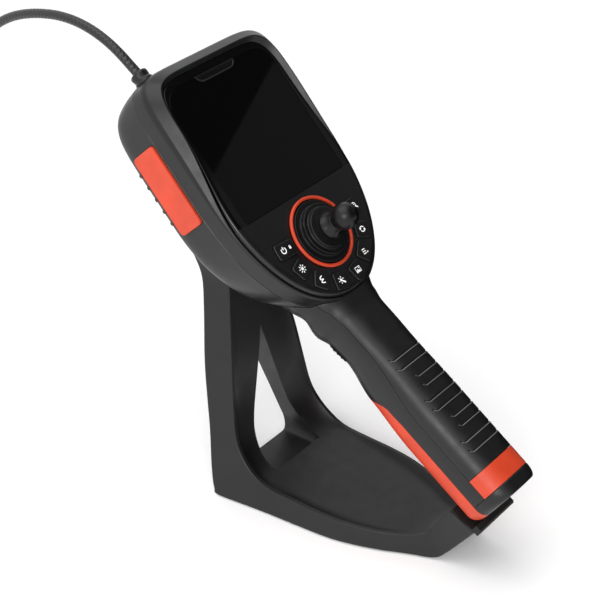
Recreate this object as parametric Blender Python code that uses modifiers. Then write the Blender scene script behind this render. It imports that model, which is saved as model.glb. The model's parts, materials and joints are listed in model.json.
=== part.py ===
"""Industrial videoscope handset resting on its moulded desk stand.

Metres, +Z up, +X to the right seen from the front, -Y towards the butt of the handle.
The origin is on the floor, under the middle of the object without its insertion tube.

Three frames carry the parts:
  stand   world axes, y and z counted from the joystick's centre on the face
  head    x across, y up the face, z out of the face, origin at the joystick's centre
  grip    x across, y up the handle's axis, z out of its front, same origin
"""
import math

import bmesh
import bpy
from mathutils import Matrix, Vector

MM = 0.001
GAP = 0.3 * MM

# Frames
FACE_TILT = math.radians(46.0)
GRIP_TILT = math.radians(34.0)
JOYSTICK_PLACE = Vector((0.9 * MM, 20.3 * MM, 223.0 * MM))

# Head housing
HEAD_HALF_WIDTH = 70.0 * MM
HEAD_MIDDLE = 60.0 * MM
HEAD_TOP = 96.6 * MM
HEAD_BOTTOM = 110.0 * MM
HEAD_BACK_BOTTOM = 88.0 * MM
TOP_SQUARENESS = 7.6
BOTTOM_SQUARENESS = 2.2
SEAM = -19.0 * MM
BACK = -57.0 * MM
WALL = 2.6 * MM
RIM_STATIONS = 60

# Face
PANEL_THICKNESS = 5.1 * MM
WINDOW_HALF_WIDTH = 55.5 * MM
WINDOW_LOW = 31.6 * MM
WINDOW_HIGH = 139.0 * MM
WINDOW_TOP_CORNER = 15.0 * MM
WINDOW_LOW_CORNER = 2.0 * MM
KEY_RADIUS = 38.4 * MM
KEY_SIZE = 13.0 * MM
POWER_KEY_SIZE = (19.0 * MM, 12.0 * MM)
KEY_DEPTH = 5.5 * MM
KEY_TOP = 1.5 * MM
KEY_GAP = 0.35 * MM
KEY_ANGLES = (4.0, -22.5, -49.0, -75.5, -104.5, -131.0, -157.5, -184.0)
KEY_NAMES = ("key_zoom", "key_rotate", "key_menu", "key_picture",
             "key_lamp", "key_curve", "key_brightness", "key_power")

# Joystick
RING_RADIUS = 26.3 * MM
RING_TUBE = 1.35 * MM
WELL_RADIUS = 24.4 * MM
PIVOT_HEIGHT = 2.0 * MM
KNOB_HEIGHT = 29.5 * MM
KNOB_RADIUS = 10.0 * MM

# Handle
HANDLE_WALL = 3.4 * MM
STRIP_DEPTH = 1.6 * MM
STRIP_START = 102.0 * MM
BAND_START = 202.6 * MM
BAND_END = 218.6 * MM
BUTT = 229.0 * MM

# Stand
FLOOR = -222.0 * MM
DISH_DEPTH = 6.5 * MM
FOOT_RADIUS = 8.0 * MM
PAD = 3.0 * MM

# Insertion tube
TUBE_RADIUS = 3.5 * MM
COIL_CENTRE = (-93.1 * MM, 386.8 * MM)
COIL_INNER = 35.5 * MM
COIL_OUTER = 49.5 * MM
NECK_LENGTH = 45.0 * MM
TIP_LENGTH = 18.0 * MM

# Points of the tube's route, world axes, chosen by hand: out of the gland, over, and down to the coil
TUBE_ROUTE = (
    (-47.1, 143.0, 326.2), (-47.1, 147.7, 329.5), (-47.5, 153.3, 333.8), (-47.9, 160.4, 339.0),
    (-48.3, 168.6, 344.0), (-48.7, 177.8, 348.3), (-49.1, 188.8, 351.8), (-49.1, 201.3, 353.7),
    (-49.1, 213.8, 353.9), (-49.1, 226.8, 352.6), (-49.1, 243.8, 349.0), (-49.1, 260.8, 343.4),
    (-49.1, 276.8, 335.5), (-49.1, 292.3, 324.5), (-49.1, 306.8, 310.0), (-49.1, 319.8, 291.5),
    (-49.1, 330.3, 269.0), (-49.1, 337.3, 243.5), (-49.1, 341.3, 214.0), (-49.1, 342.8, 180.0),
    (-49.1, 342.8, 145.0), (-49.1, 342.3, 110.0), (-49.4, 341.6, 80.0), (-50.6, 341.0, 56.0),
    (-54.6, 340.8, 38.0), (-61.1, 340.8, 25.5), (-68.6, 340.8, 18.4),
)


def remove_startup_objects():
    for old in list(bpy.data.objects):
        bpy.data.objects.remove(old, do_unlink=True)


def new_collection(name):
    made = bpy.data.collections.new(name)
    bpy.context.scene.collection.children.link(made)
    return made


remove_startup_objects()
PARTS = new_collection("videoscope")
CUTTERS = new_collection("cutters")


def material(name, colour, roughness, metallic=0.0):
    made = bpy.data.materials.new(name)
    made.use_nodes = True
    shader = made.node_tree.nodes["Principled BSDF"]
    shader.inputs["Base Color"].default_value = (*colour, 1.0)
    shader.inputs["Roughness"].default_value = roughness
    shader.inputs["Metallic"].default_value = metallic
    return made


SHELL = material("shell_grey", (0.045, 0.046, 0.049), 0.55)
STAND = material("stand_grey", (0.048, 0.048, 0.051), 0.6)
PANEL = material("panel_black", (0.012, 0.012, 0.013), 0.35)
GLASS = material("screen_glass", (0.004, 0.004, 0.005), 0.08)
RUBBER = material("rubber_black", (0.014, 0.014, 0.015), 0.7)
ORANGE = material("orange", (0.82, 0.09, 0.04), 0.45)
BOARD = material("circuit_board", (0.02, 0.10, 0.04), 0.5)
STEEL = material("steel", (0.55, 0.55, 0.57), 0.3, 1.0)
TUBE = material("tube_braid", (0.02, 0.02, 0.022), 0.35)
CELL = material("battery_wrap", (0.05, 0.09, 0.20), 0.5)
LENS = material("lens_glass", (0.01, 0.012, 0.02), 0.05)


def frame_empty(name, place, tilt):
    empty = bpy.data.objects.new(name, None)
    empty.location = place
    empty.rotation_euler = (tilt, 0.0, 0.0)
    PARTS.objects.link(empty)
    return empty


STAND_FRAME = frame_empty("stand_origin", JOYSTICK_PLACE, 0.0)
HEAD = frame_empty("head_frame", JOYSTICK_PLACE, FACE_TILT)
GRIP = frame_empty("grip_frame", JOYSTICK_PLACE, GRIP_TILT)


def add_object(name, mesh, look, parent, smooth=None):
    made = bpy.data.objects.new(name, mesh)
    PARTS.objects.link(made)
    made.parent = parent
    if look:
        mesh.materials.append(look)
    if smooth is not None:
        mesh.shade_smooth()
        mesh.set_sharp_from_angle(angle=math.radians(smooth))
    return made


def finish_primitive(name, look, parent, place, turn=(0.0, 0.0, 0.0)):
    made = bpy.context.object
    made.name = name
    made.data.name = name
    for home in list(made.users_collection):
        home.objects.unlink(made)
    PARTS.objects.link(made)
    made.parent = parent
    made.location = place
    made.rotation_euler = turn
    if look:
        made.data.materials.append(look)
    return made


def box(name, size, place, look, parent, turn=(0.0, 0.0, 0.0), rounding=0.0, steps=2):
    bpy.ops.mesh.primitive_cube_add(size=1.0)
    made = finish_primitive(name, look, parent, place, turn)
    made.data.transform(Matrix.Diagonal((*size, 1.0)))
    if rounding:
        bevel = made.modifiers.new("rounding", "BEVEL")
        bevel.width = rounding
        bevel.segments = steps
        bevel.limit_method = "ANGLE"
    return made


def plate(name, size, place, look, parent, corner, edge=0.0, turn=(0.0, 0.0, 0.0)):
    """A flat plate with round corners in its own plane, and a small bevel round its front."""
    half_x, half_y = size[0] / 2, size[1] / 2
    mesh = bpy.data.meshes.new(name)
    work = bmesh.new()
    rim = []
    for corner_x, corner_y, start in ((1, 1, 0), (-1, 1, 90), (-1, -1, 180), (1, -1, 270)):
        for step in range(4):
            angle = math.radians(start + 30 * step)
            rim.append((corner_x * (half_x - corner) + corner * math.cos(angle),
                        corner_y * (half_y - corner) + corner * math.sin(angle)))
    low, high = -size[2] / 2, size[2] / 2
    layers = [(0.0, low), (0.0, high)] if not edge else [(0.0, low), (0.0, high - edge), (edge, high)]
    loops = []
    for inset, height in layers:
        shrink_x = (half_x - inset) / half_x
        shrink_y = (half_y - inset) / half_y
        loops.append([work.verts.new((x * shrink_x, y * shrink_y, height)) for x, y in rim])
    bridge(work, loops)
    close_ends(work, loops)
    return end_mesh(name, work, mesh, look, parent, place, turn)


def bridge(work, loops, closed=False):
    pairs = list(zip(loops, loops[1:]))
    if closed:
        pairs.append((loops[-1], loops[0]))
    for low, high in pairs:
        count = len(low)
        for i in range(count):
            j = (i + 1) % count
            work.faces.new((low[i], low[j], high[j], high[i]))


def close_ends(work, loops):
    work.faces.new(list(reversed(loops[0])))
    work.faces.new(loops[-1])


def end_mesh(name, work, mesh, look, parent, place=(0.0, 0.0, 0.0), turn=(0.0, 0.0, 0.0), smooth=30.0):
    bmesh.ops.recalc_face_normals(work, faces=work.faces)
    work.to_mesh(mesh)
    work.free()
    made = add_object(name, mesh, look, parent, smooth)
    made.location = place
    made.rotation_euler = turn
    return made


def loft(name, sections, look, parent, ring=False, smooth=30.0):
    """Skin a list of closed sections with equal point counts. ring=True joins the last to the first."""
    mesh = bpy.data.meshes.new(name)
    work = bmesh.new()
    loops = [[work.verts.new(point) for point in section] for section in sections]
    bridge(work, loops, closed=ring)
    if not ring:
        close_ends(work, loops)
    return end_mesh(name, work, mesh, look, parent, smooth=smooth)


def turned(name, profile, look, parent, place=(0.0, 0.0, 0.0), turn=(0.0, 0.0, 0.0), steps=28):
    """Turn a profile of (radius, height), outer side from top to bottom, about Z."""
    mesh = bpy.data.meshes.new(name)
    points = [(radius, 0.0, height) for radius, height in profile]
    closed = profile[0][0] > 0.0
    edges = [(i, i + 1) for i in range(len(points) - 1)]
    if closed:
        edges.append((len(points) - 1, 0))
    mesh.from_pydata(points, edges, [])
    made = add_object(name, mesh, look, parent)
    made.location = place
    made.rotation_euler = turn
    screw = made.modifiers.new("turn", "SCREW")
    screw.steps = steps
    screw.render_steps = steps
    screw.use_merge_vertices = True
    screw.merge_threshold = 0.00001
    screw.use_smooth_shade = True
    return made


def cylinder(name, radius, length, place, look, parent, turn=(0.0, 0.0, 0.0), sides=24):
    bpy.ops.mesh.primitive_cylinder_add(radius=radius, depth=length, vertices=sides)
    made = finish_primitive(name, look, parent, place, turn)
    made.data.shade_smooth()
    made.data.set_sharp_from_angle(angle=math.radians(40.0))
    return made


def as_cutter(made):
    for home in list(made.users_collection):
        home.objects.unlink(made)
    CUTTERS.objects.link(made)
    made.hide_render = True
    made.display_type = "WIRE"
    return made


def cut(target, cutter, operation="DIFFERENCE"):
    modifier = target.modifiers.new("cut_" + cutter.name, "BOOLEAN")
    modifier.operation = operation
    modifier.solver = "EXACT"
    modifier.object = cutter


def mix(low, high, share):
    return low + (high - low) * share


def ease(low, high, value):
    share = min(1.0, max(0.0, (value - low) / (high - low)))
    return share * share * (3.0 - 2.0 * share)


def superellipse(angle, half_width, half_height, power):
    """The point of |x/a|^p + |y/b|^p = 1 in one direction from its middle."""
    across, along = math.cos(angle), math.sin(angle)
    reach = (abs(across / half_width) ** power + abs(along / half_height) ** power) ** (-1.0 / power)
    return reach * across, reach * along


# ---------------------------------------------------------------- head housing

def head_point(angle, inset, height, bottom=HEAD_BOTTOM, top=HEAD_TOP):
    """A point of the head's outline, inset from its edge, at a height out of the face."""
    upper = math.sin(angle) >= 0.0
    reach = top if upper else bottom
    power = TOP_SQUARENESS if upper else BOTTOM_SQUARENESS
    x, y = superellipse(angle, HEAD_HALF_WIDTH - inset, reach - inset, power)
    return (x, HEAD_MIDDLE + y, height)


def rim_angles():
    return [2.0 * math.pi * i / RIM_STATIONS for i in range(RIM_STATIONS)]


def hood_at(angle):
    """0 round the keypad, where the shell is low, to 1 round the screen, where it is a raised hood."""
    return ease(20.0 * MM, 120.0 * MM, head_point(angle, 0.0, 0.0)[1])


def panel_inset(angle):
    return mix(2.2, 10.8, hood_at(angle)) * MM


def front_shell():
    sections = []
    for angle in rim_angles():
        hood = hood_at(angle)
        foot = panel_inset(angle)
        profile = (
            (0.0, SEAM + GAP / 2),
            (0.0, -6.5 * MM),
            (mix(0.5, 1.2, hood) * MM, mix(-5.2, -3.2, hood) * MM),
            (mix(1.5, 7.6, hood) * MM, mix(-4.8, 4.0, hood) * MM),
            (foot, mix(-4.8, 0.4, hood) * MM),
            (foot, -PANEL_THICKNESS - GAP),
            (foot + 3.0 * MM, -PANEL_THICKNESS - GAP),
            (foot + 3.0 * MM, -8.0 * MM),
            (WALL, -11.0 * MM),
            (WALL, SEAM + GAP / 2),
        )
        sections.append([head_point(angle, inset, height) for inset, height in profile])
    return loft("front_shell", sections, SHELL, HEAD, ring=True)


def back_levels():
    """Inset, height, lower and upper reach of the rear housing's skin, from the seam to the back."""
    return (
        (0.0, SEAM - GAP / 2, HEAD_BOTTOM, HEAD_TOP),
        (0.3 * MM, -32.0 * MM, 104.5 * MM, 95.4 * MM),
        (0.6 * MM, -45.0 * MM, 97.0 * MM, 92.4 * MM),
        (2.0 * MM, -52.0 * MM, 93.0 * MM, 89.4 * MM),
        (5.2 * MM, -55.8 * MM, 90.0 * MM, 87.8 * MM),
        (10.0 * MM, BACK, HEAD_BACK_BOTTOM, 87.0 * MM),
    )


def rear_shell():
    levels = back_levels()
    outer = [[head_point(angle, inset, height, low, high) for angle in rim_angles()]
             for inset, height, low, high in levels]
    inner = [[head_point(angle, inset + WALL, max(height, BACK + 2.0 * WALL), low, high)
              for angle in rim_angles()] for inset, height, low, high in (levels[0], levels[2], levels[3])]
    floor = [head_point(angle, 9.5 * MM, BACK + WALL, levels[-1][2], levels[-1][3]) for angle in rim_angles()]
    made = loft("rear_shell", [floor, *reversed(inner), *outer], SHELL, HEAD)
    bay = as_cutter(box("port_bay_cutter", (12.0 * MM, 58.4 * MM, 20.4 * MM),
                        (-66.0 * MM, 82.3 * MM, -33.4 * MM), None, HEAD))
    rest = as_cutter(plate("port_rest_cutter", (65.2 * MM, 26.2 * MM, 6.0 * MM),
                           (-71.6 * MM, 82.3 * MM, -33.4 * MM), None, HEAD, 3.6 * MM,
                           turn=(math.radians(90.0), 0.0, math.radians(-90.0))))
    cut(made, bay)
    cut(made, rest)
    for number, (x, y) in enumerate(SCREW_PLACES, 1):
        cut(made, as_cutter(cylinder(f"screw_hole_{number}", 3.4 * MM, 4.0 * MM,
                                     (x, y, BACK), None, HEAD)))
    return made


SCREW_PLACES = ((-46.0 * MM, 128.0 * MM), (46.0 * MM, 128.0 * MM),
                (-47.0 * MM, 34.0 * MM), (47.0 * MM, 34.0 * MM))


def housing_screws():
    for number, (x, y) in enumerate(SCREW_PLACES, 1):
        screw = cylinder(f"housing_screw_{number}", 3.0 * MM, 1.5 * MM,
                         (x, y, BACK + 0.9 * MM), STEEL, HEAD, sides=20)
        slot = as_cutter(cylinder(f"screw_socket_{number}", 1.3 * MM, 2.0 * MM,
                                  (x, y, BACK), None, HEAD, sides=6))
        cut(screw, slot)


def head_volume(name, growth):
    """The head's whole outer volume, grown all round, which trims what meets it."""
    levels = [(inset - growth, height, low, high) for inset, height, low, high in back_levels()]
    levels[-1] = (levels[-1][0], BACK - growth, *levels[-1][2:])
    levels.insert(0, (-growth, -5.0 * MM, HEAD_BOTTOM, HEAD_TOP))
    levels.insert(0, (8.0 * MM, 3.0 * MM, HEAD_BOTTOM, HEAD_TOP))
    sections = [[head_point(angle, inset, height, low, high) for angle in rim_angles()]
                for inset, height, low, high in levels]
    return as_cutter(loft(name, sections, None, HEAD))


# ---------------------------------------------------------------- face

def face_panel():
    layers = []
    for share_low, share_high, low, high in (
        (0.0, 0.0, -PANEL_THICKNESS, -PANEL_THICKNESS),
        (0.0, 0.0, -4.4 * MM, -0.4 * MM),
        (1.2, 0.2, -2.2 * MM, -0.1 * MM),
        (3.4, 0.5, -0.8 * MM, 0.0),
        (7.0, 1.0, 0.0, 0.0),
    ):
        loop = []
        for angle in rim_angles():
            hood = hood_at(angle)
            inset = panel_inset(angle) + GAP + mix(share_low, share_high, hood) * MM
            loop.append(head_point(angle, inset, mix(low, high, hood)))
        layers.append(loop)
    made = loft("face_panel", layers, PANEL, HEAD)
    cut(made, as_cutter(window_slab("window_cutter", GAP, -15.0 * MM, 15.0 * MM, None)))
    well = cylinder("well_cutter", WELL_RADIUS, 30.0 * MM, (0.0, 0.0, 0.0), None, HEAD, sides=48)
    cut(made, as_cutter(well))
    for name, place, turn, (length, width) in key_places():
        size = (length + 2.0 * KEY_GAP, width + 2.0 * KEY_GAP, 20.0 * MM)
        cut(made, as_cutter(plate(name + "_cutter", size, place, None, HEAD, 1.9 * MM, turn=turn)))
    return made


def window_slab(name, growth, low, high, look):
    """The window's outline, wide arcs at its top corners and tight ones below, as a slab."""
    outline = []
    corners = (
        (1, WINDOW_HIGH, WINDOW_TOP_CORNER, 0),
        (-1, WINDOW_HIGH, WINDOW_TOP_CORNER, 90),
        (-1, WINDOW_LOW, WINDOW_LOW_CORNER, 180),
        (1, WINDOW_LOW, WINDOW_LOW_CORNER, 270),
    )
    for side, level, corner, start in corners:
        inward = -1 if level == WINDOW_HIGH else 1
        for step in range(5):
            angle = math.radians(start + 22.5 * step)
            reach = corner + growth
            outline.append((side * (WINDOW_HALF_WIDTH - corner) + reach * math.cos(angle),
                            level + inward * corner + reach * math.sin(angle)))
    return loft(name, [[(x, y, z) for x, y in outline] for z in (low, high)], look, HEAD)


def screen_window():
    return window_slab("screen_window", 0.0, -2.0 * MM, 0.0, GLASS)


def name_tab():
    """The raised rounded tab that hangs from the top border, without its lettering."""
    outline = []
    half_top, half_low, drop, corner = 21.0 * MM, 16.5 * MM, 5.6 * MM, 3.0 * MM
    for side in (-1, 1):
        start = 180 if side < 0 else 270
        arc = [(side * (half_low - corner) + corner * math.cos(math.radians(start + 22.5 * k)),
                -drop + corner + corner * math.sin(math.radians(start + 22.5 * k))) for k in range(5)]
        outline += arc
    outline += [(half_top, 0.0), (-half_top, 0.0)]
    sections = [[(x, y, height) for x, y in outline] for height in (0.3 * MM, 0.9 * MM)]
    made = loft("name_tab", sections, PANEL, HEAD)
    made.location = (0.0, WINDOW_HIGH + 1.6 * MM, 0.0)
    return made


def key_places():
    """Each key's name, place, turn, and its length away from the joystick by its width."""
    for name, degrees in zip(KEY_NAMES, KEY_ANGLES):
        angle = math.radians(degrees)
        place = (KEY_RADIUS * math.cos(angle), KEY_RADIUS * math.sin(angle), 0.0)
        size = POWER_KEY_SIZE if name == "key_power" else (KEY_SIZE, KEY_SIZE)
        yield name, place, (0.0, 0.0, angle), size


def keys():
    for name, place, turn, size in key_places():
        middle = (place[0], place[1], KEY_TOP - KEY_DEPTH / 2)
        plate(name, (*size, KEY_DEPTH), middle, RUBBER, HEAD, 1.6 * MM, edge=0.6 * MM, turn=turn)


def joystick():
    profile = [(RING_RADIUS + RING_TUBE * math.sin(math.radians(k * 45.0)),
                RING_TUBE * (0.35 + math.cos(math.radians(k * 45.0)))) for k in range(8)]
    turned("joystick_ring", [(radius, height + 0.95 * MM) for radius, height in profile], ORANGE, HEAD, steps=40)
    cup = ((23.8, -5.6), (23.8, -22.0), (4.0, -22.0), (4.0, -20.0), (20.8, -20.0), (20.8, -5.6))
    turned("joystick_cup", [(r * MM, h * MM) for r, h in cup], SHELL, HEAD)
    lower = ((23.9, 2.6), (23.9, -5.2), (20.8, -5.2), (20.8, 0.6), (17.0, 0.9), (17.0, 3.9),
             (19.9, 3.9), (19.9, 3.1), (22.0, 2.6))
    turned("boot_lower", [(r * MM, h * MM) for r, h in lower], RUBBER, HEAD)
    upper = ((15.6, 10.2), (16.0, 8.2), (19.6, 7.6), (19.6, 4.2), (16.2, 4.2), (16.2, 6.4),
             (12.6, 6.8), (12.6, 9.3), (7.2, 11.4), (7.2, 12.6), (12.0, 11.0))
    turned("boot_upper", [(r * MM, h * MM) for r, h in upper], RUBBER, HEAD)
    gimbal = ((15.0, PIVOT_HEIGHT / MM + 1.5), (15.0, PIVOT_HEIGHT / MM - 3.5),
              (12.0, PIVOT_HEIGHT / MM - 3.5), (12.0, PIVOT_HEIGHT / MM + 1.5))
    turned("gimbal_ring", [(r * MM, h * MM) for r, h in gimbal], STEEL, HEAD)
    stem = ((6.6, 20.8), (7.6, 17.2), (9.4, 14.4), (9.9, 13.0), (6.4, 12.9),
            (5.0, 9.0), (4.0, 2.0), (4.0, -9.0), (0.0, -9.0))
    stem = [(0.0, 20.8 * MM)] + [(r * MM, h * MM) for r, h in stem]
    turned("joystick_stem", stem, RUBBER, HEAD)
    ball = [(KNOB_RADIUS * math.sin(math.radians(a)), KNOB_HEIGHT + KNOB_RADIUS * math.cos(math.radians(a)))
            for a in range(0, 133, 16)]
    ball += [(5.4 * MM, 21.1 * MM), (0.0, 21.1 * MM)]
    ball[0] = (0.0, ball[0][1])
    turned("joystick_knob", ball, RUBBER, HEAD)


# ---------------------------------------------------------------- port cover

def ports():
    side = (math.radians(90.0), 0.0, math.radians(-90.0))
    middle_y, middle_z = 82.3 * MM, -33.4 * MM
    plate("port_cover", (64.4 * MM, 25.4 * MM, 3.0 * MM), (-70.3 * MM, middle_y, middle_z), ORANGE, HEAD,
          3.4 * MM, edge=0.8 * MM, turn=side)
    block = box("port_block", (12.0 * MM, 57.4 * MM, 19.4 * MM), (-60.6 * MM, middle_y, middle_z), SHELL, HEAD)
    for number, (y, length, width) in enumerate(((62.0, 12.0, 7.0), (82.0, 15.0, 6.0), (102.0, 10.0, 10.0)), 1):
        cut(block, as_cutter(box(f"socket_cutter_{number}", (6.0 * MM, length * MM, width * MM),
                                 (-66.6 * MM, y * MM, middle_z), None, HEAD)))
    for number in range(5):
        y = (62.3 + 10.0 * number) * MM
        box(f"hinge_knuckle_{number + 1}", (2.4 * MM, 2.8 * MM, 2.6 * MM), (-70.35 * MM, y, -48.6 * MM),
            RUBBER, HEAD, rounding=0.5 * MM, steps=1)


# ---------------------------------------------------------------- handle

def follow(table, along):
    """Ease between the (distance, value) rows of a short table, in millimetres."""
    if along <= table[0][0]:
        return table[0][1]
    for (start, low), (end, high) in zip(table, table[1:]):
        if along <= end:
            return mix(low, high, ease(start, end, along))
    return table[-1][1]


HALF_WIDTHS = ((15, 29.0), (36, 26.0), (58, 23.6), (90, 23.8), (150, 25.8))
FRONTS = ((15, -17.0), (60, -14.8), (110, -13.6))
BACKS = ((15, -55.5), (40, -51.8), (51, -59.0), (66, -55.6), (80, -54.2), (112, -62.0), (160, -65.2))
SEAMS = ((85, -22.5), (150, -29.0))
STRIP_EDGES = ((102, -59.6), (128, -43.8), (145, -42.4))
HANDLE_POWER = 2.8
HANDLE_STOPS = (16, 28, 40, 45.5, 51, 58.5, 66, 73, 80, 88, 96, 104, 112, 124, 136, 148, 160)
CORNER_STOPS = (9.0, 6.0, 4.0, 2.4, 1.2, 0.4, 0.0)
CORNER_RADIUS = 9.0 * MM


def corner_shrink(along):
    """How far the butt's rounded corner pulls in the handle's sides and back."""
    reach = min(max(along - (BUTT - CORNER_RADIUS), 0.0), CORNER_RADIUS)
    return CORNER_RADIUS - math.sqrt(CORNER_RADIUS ** 2 - reach ** 2)


def handle_section(along, inset):
    """Half width, middle and half height of the handle, inset from its skin."""
    at = along / MM
    shrink = corner_shrink(along)
    front, back = follow(FRONTS, at) * MM, follow(BACKS, at) * MM + shrink
    half_width = follow(HALF_WIDTHS, at) * MM - 0.8 * shrink
    return half_width - inset, (front + back) / 2, (front - back) / 2 - inset


def skin_arc(along, inset, level, count, below):
    """Points of the handle's section on one side of a level, from +X round to -X."""
    half_width, middle, half_height = handle_section(along, inset)
    share = max(-0.999, min(0.999, (level - middle) / half_height))
    x = half_width * (1.0 - abs(share) ** HANDLE_POWER) ** (1.0 / HANDLE_POWER)
    first = math.atan2(level - middle, x)
    last = math.pi - first
    if below:
        last = -math.pi - first
    points = []
    for i in range(count):
        angle = mix(first, last, i / (count - 1))
        px, pz = superellipse(angle, half_width, half_height, HANDLE_POWER)
        points.append((px, -along, middle + pz))
    return points


def channel(name, stops, wall, level, below, look, count=13, outside=0.0):
    """An open channel that follows the handle's skin above or below a level."""
    sections = []
    for along in stops:
        outer = skin_arc(along, -outside, level(along), count, below)
        inner = skin_arc(along, wall, level(along), count, below)
        sections.append(outer + list(reversed(inner)))
    return loft(name, sections, look, GRIP)


def spaced(start, end, step):
    count = max(1, round((end - start) / step))
    return [mix(start, end, i / count) for i in range(count + 1)]


def handle(head_cutter):
    stops = [along * MM for along in HANDLE_STOPS] + [BAND_END]
    rear = channel("handle_rear", stops, HANDLE_WALL,
                   lambda s: follow(SEAMS, s / MM) * MM - GAP / 2, True, SHELL, count=13)
    grip_stops = [s for s in stops if 30.0 * MM < s < BAND_START] + [BAND_START - GAP]
    grip = channel("handle_grip", grip_stops, HANDLE_WALL,
                   lambda s: follow(SEAMS, s / MM) * MM + GAP / 2, False, RUBBER)
    channel("end_band", [BAND_START, BAND_END], HANDLE_WALL,
            lambda s: follow(SEAMS, s / MM) * MM + GAP / 2, False, ORANGE)
    strip_stops = spaced(STRIP_START, 132.0 * MM, 6.0 * MM) + [160.0 * MM, 190.0 * MM] + corner_stops()
    channel("back_strip", strip_stops, STRIP_DEPTH,
            lambda s: follow(STRIP_EDGES, s / MM) * MM, True, ORANGE, count=13)
    cutter_stops = [STRIP_START - 2.0 * MM, *strip_stops[1:], BUTT + 2.0 * MM]
    strip_cutter = as_cutter(channel("strip_cutter", cutter_stops, STRIP_DEPTH + GAP,
                                     lambda s: follow(STRIP_EDGES, s / MM) * MM + GAP, True, None,
                                     count=13, outside=1.5 * MM))
    cut(rear, head_cutter)
    cut(rear, strip_cutter)
    cut(grip, head_cutter)
    for cutter in grip_groove_cutters():
        cut(grip, cutter)
    end_cap(strip_cutter)


def corner_stops():
    return [BUTT - before * MM for before in CORNER_STOPS]


def end_cap(strip_cutter):
    sections = []
    for along in [BAND_END + GAP] + corner_stops():
        half_width, middle, half_height = handle_section(along, 0.0)
        sections.append([(x, -along, middle + z) for x, z in
                         (superellipse(2.0 * math.pi * i / 32, half_width, half_height, HANDLE_POWER)
                          for i in range(32))])
    cut(loft("end_cap", sections, SHELL, GRIP), strip_cutter)


def grip_groove_cutters():
    """Ten cross grooves in five pairs, alternately wide and narrow."""
    cutters = []
    for pair in range(5):
        wide = pair % 2 == 0
        for line in range(2):
            along = (104.0 + 19.0 * pair + 8.4 * line) * MM
            half = (17.0 if wide else 10.5) * MM
            cutters.append(as_cutter(box(f"groove_cutter_{pair}_{line}", (2.0 * half, 1.6 * MM, 10.0 * MM),
                                         (0.0, -along, groove_floor(along, half) + 5.0 * MM), None, GRIP)))
    return cutters


def groove_floor(along, half):
    """0.9 mm under the skin where the groove ends."""
    half_width, middle, half_height = handle_section(along, 0.0)
    return middle + half_height * (1.0 - (half / half_width) ** HANDLE_POWER) ** (1.0 / HANDLE_POWER) - 0.9 * MM


def finger_pad():
    """The rubber pad with small ribs where the fingers close round the handle."""
    stops = [(64.0 + 2.0 * k) * MM for k in range(9)]
    sections = []
    for number, along in enumerate(stops):
        rib = 0.9 * MM if number in (5, 7) else 0.4 * MM
        level = -44.5 * MM
        outer = skin_arc(along, -rib - 2.2 * GAP, level, 9, True)
        inner = skin_arc(along, -2.2 * GAP, level, 9, True)
        sections.append(outer + list(reversed(inner)))
    return loft("finger_pad", sections, RUBBER, GRIP)


# ---------------------------------------------------------------- inside

def insides():
    middle = (WINDOW_LOW + WINDOW_HIGH) / 2
    box("display_module", (104.0 * MM, 80.0 * MM, 5.0 * MM), (0.0, middle, -5.2 * MM), STEEL, HEAD)
    box("main_board", (96.0 * MM, 118.0 * MM, 1.6 * MM), (4.0 * MM, 84.0 * MM, -24.0 * MM), BOARD, HEAD)
    for number, side in enumerate((-1, 1), 1):
        cylinder(f"steering_motor_{number}", 10.0 * MM, 34.0 * MM, (side * 14.0 * MM, 96.0 * MM, -40.0 * MM),
                 STEEL, HEAD, turn=(math.radians(90.0), 0.0, 0.0), sides=20)
    box("light_block", (22.0 * MM, 26.0 * MM, 18.0 * MM), (-38.0 * MM, 124.0 * MM, -40.0 * MM), STEEL, HEAD)
    box("battery_pack", (30.0 * MM, 100.0 * MM, 18.0 * MM), (0.0, -160.0 * MM, -36.0 * MM), CELL, GRIP,
        rounding=4.0 * MM, steps=2)


# ---------------------------------------------------------------- gland and insertion tube

GLAND_PLACE = Vector((-48.0, 155.5, -15.8)) * MM
GLAND_LEAN = math.radians(-90.0 - 11.3)


def gland(head_cutter):
    nut = ((6.0, 7.6), (6.9, 6.2), (7.4, 0.0), (7.4, -6.0), (4.2, -6.0), (4.2, 7.6))
    made = turned("gland_nut", [(r * MM, h * MM) for r, h in nut], SHELL, HEAD, place=GLAND_PLACE,
                  turn=(GLAND_LEAN, 0.0, 0.0), steps=8)
    made.modifiers["turn"].use_smooth_shade = False
    cut(made, head_cutter)


def smooth_points(points, per_span):
    """A Catmull-Rom curve through the route's own points."""
    padded = [points[0] * 2.0 - points[1], *points, points[-1] * 2.0 - points[-2]]
    found = []
    for a, b, c, d in zip(padded, padded[1:], padded[2:], padded[3:]):
        for step in range(per_span):
            t = step / per_span
            found.append(0.5 * (2.0 * b + (c - a) * t + (2.0 * a - 5.0 * b + 4.0 * c - d) * t * t
                                + (3.0 * b - a - 3.0 * c + d) * t * t * t))
    found.append(points[-1])
    return found


def wire(name, points, radius, look):
    curve = bpy.data.curves.new(name, "CURVE")
    curve.dimensions = "3D"
    curve.bevel_depth = radius
    curve.bevel_resolution = 2
    curve.use_fill_caps = True
    spline = curve.splines.new("POLY")
    spline.points.add(len(points) - 1)
    for target, point in zip(spline.points, points):
        target.co = (*point, 1.0)
    curve.materials.append(look)
    made = bpy.data.objects.new(name, curve)
    PARTS.objects.link(made)
    return made


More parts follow.
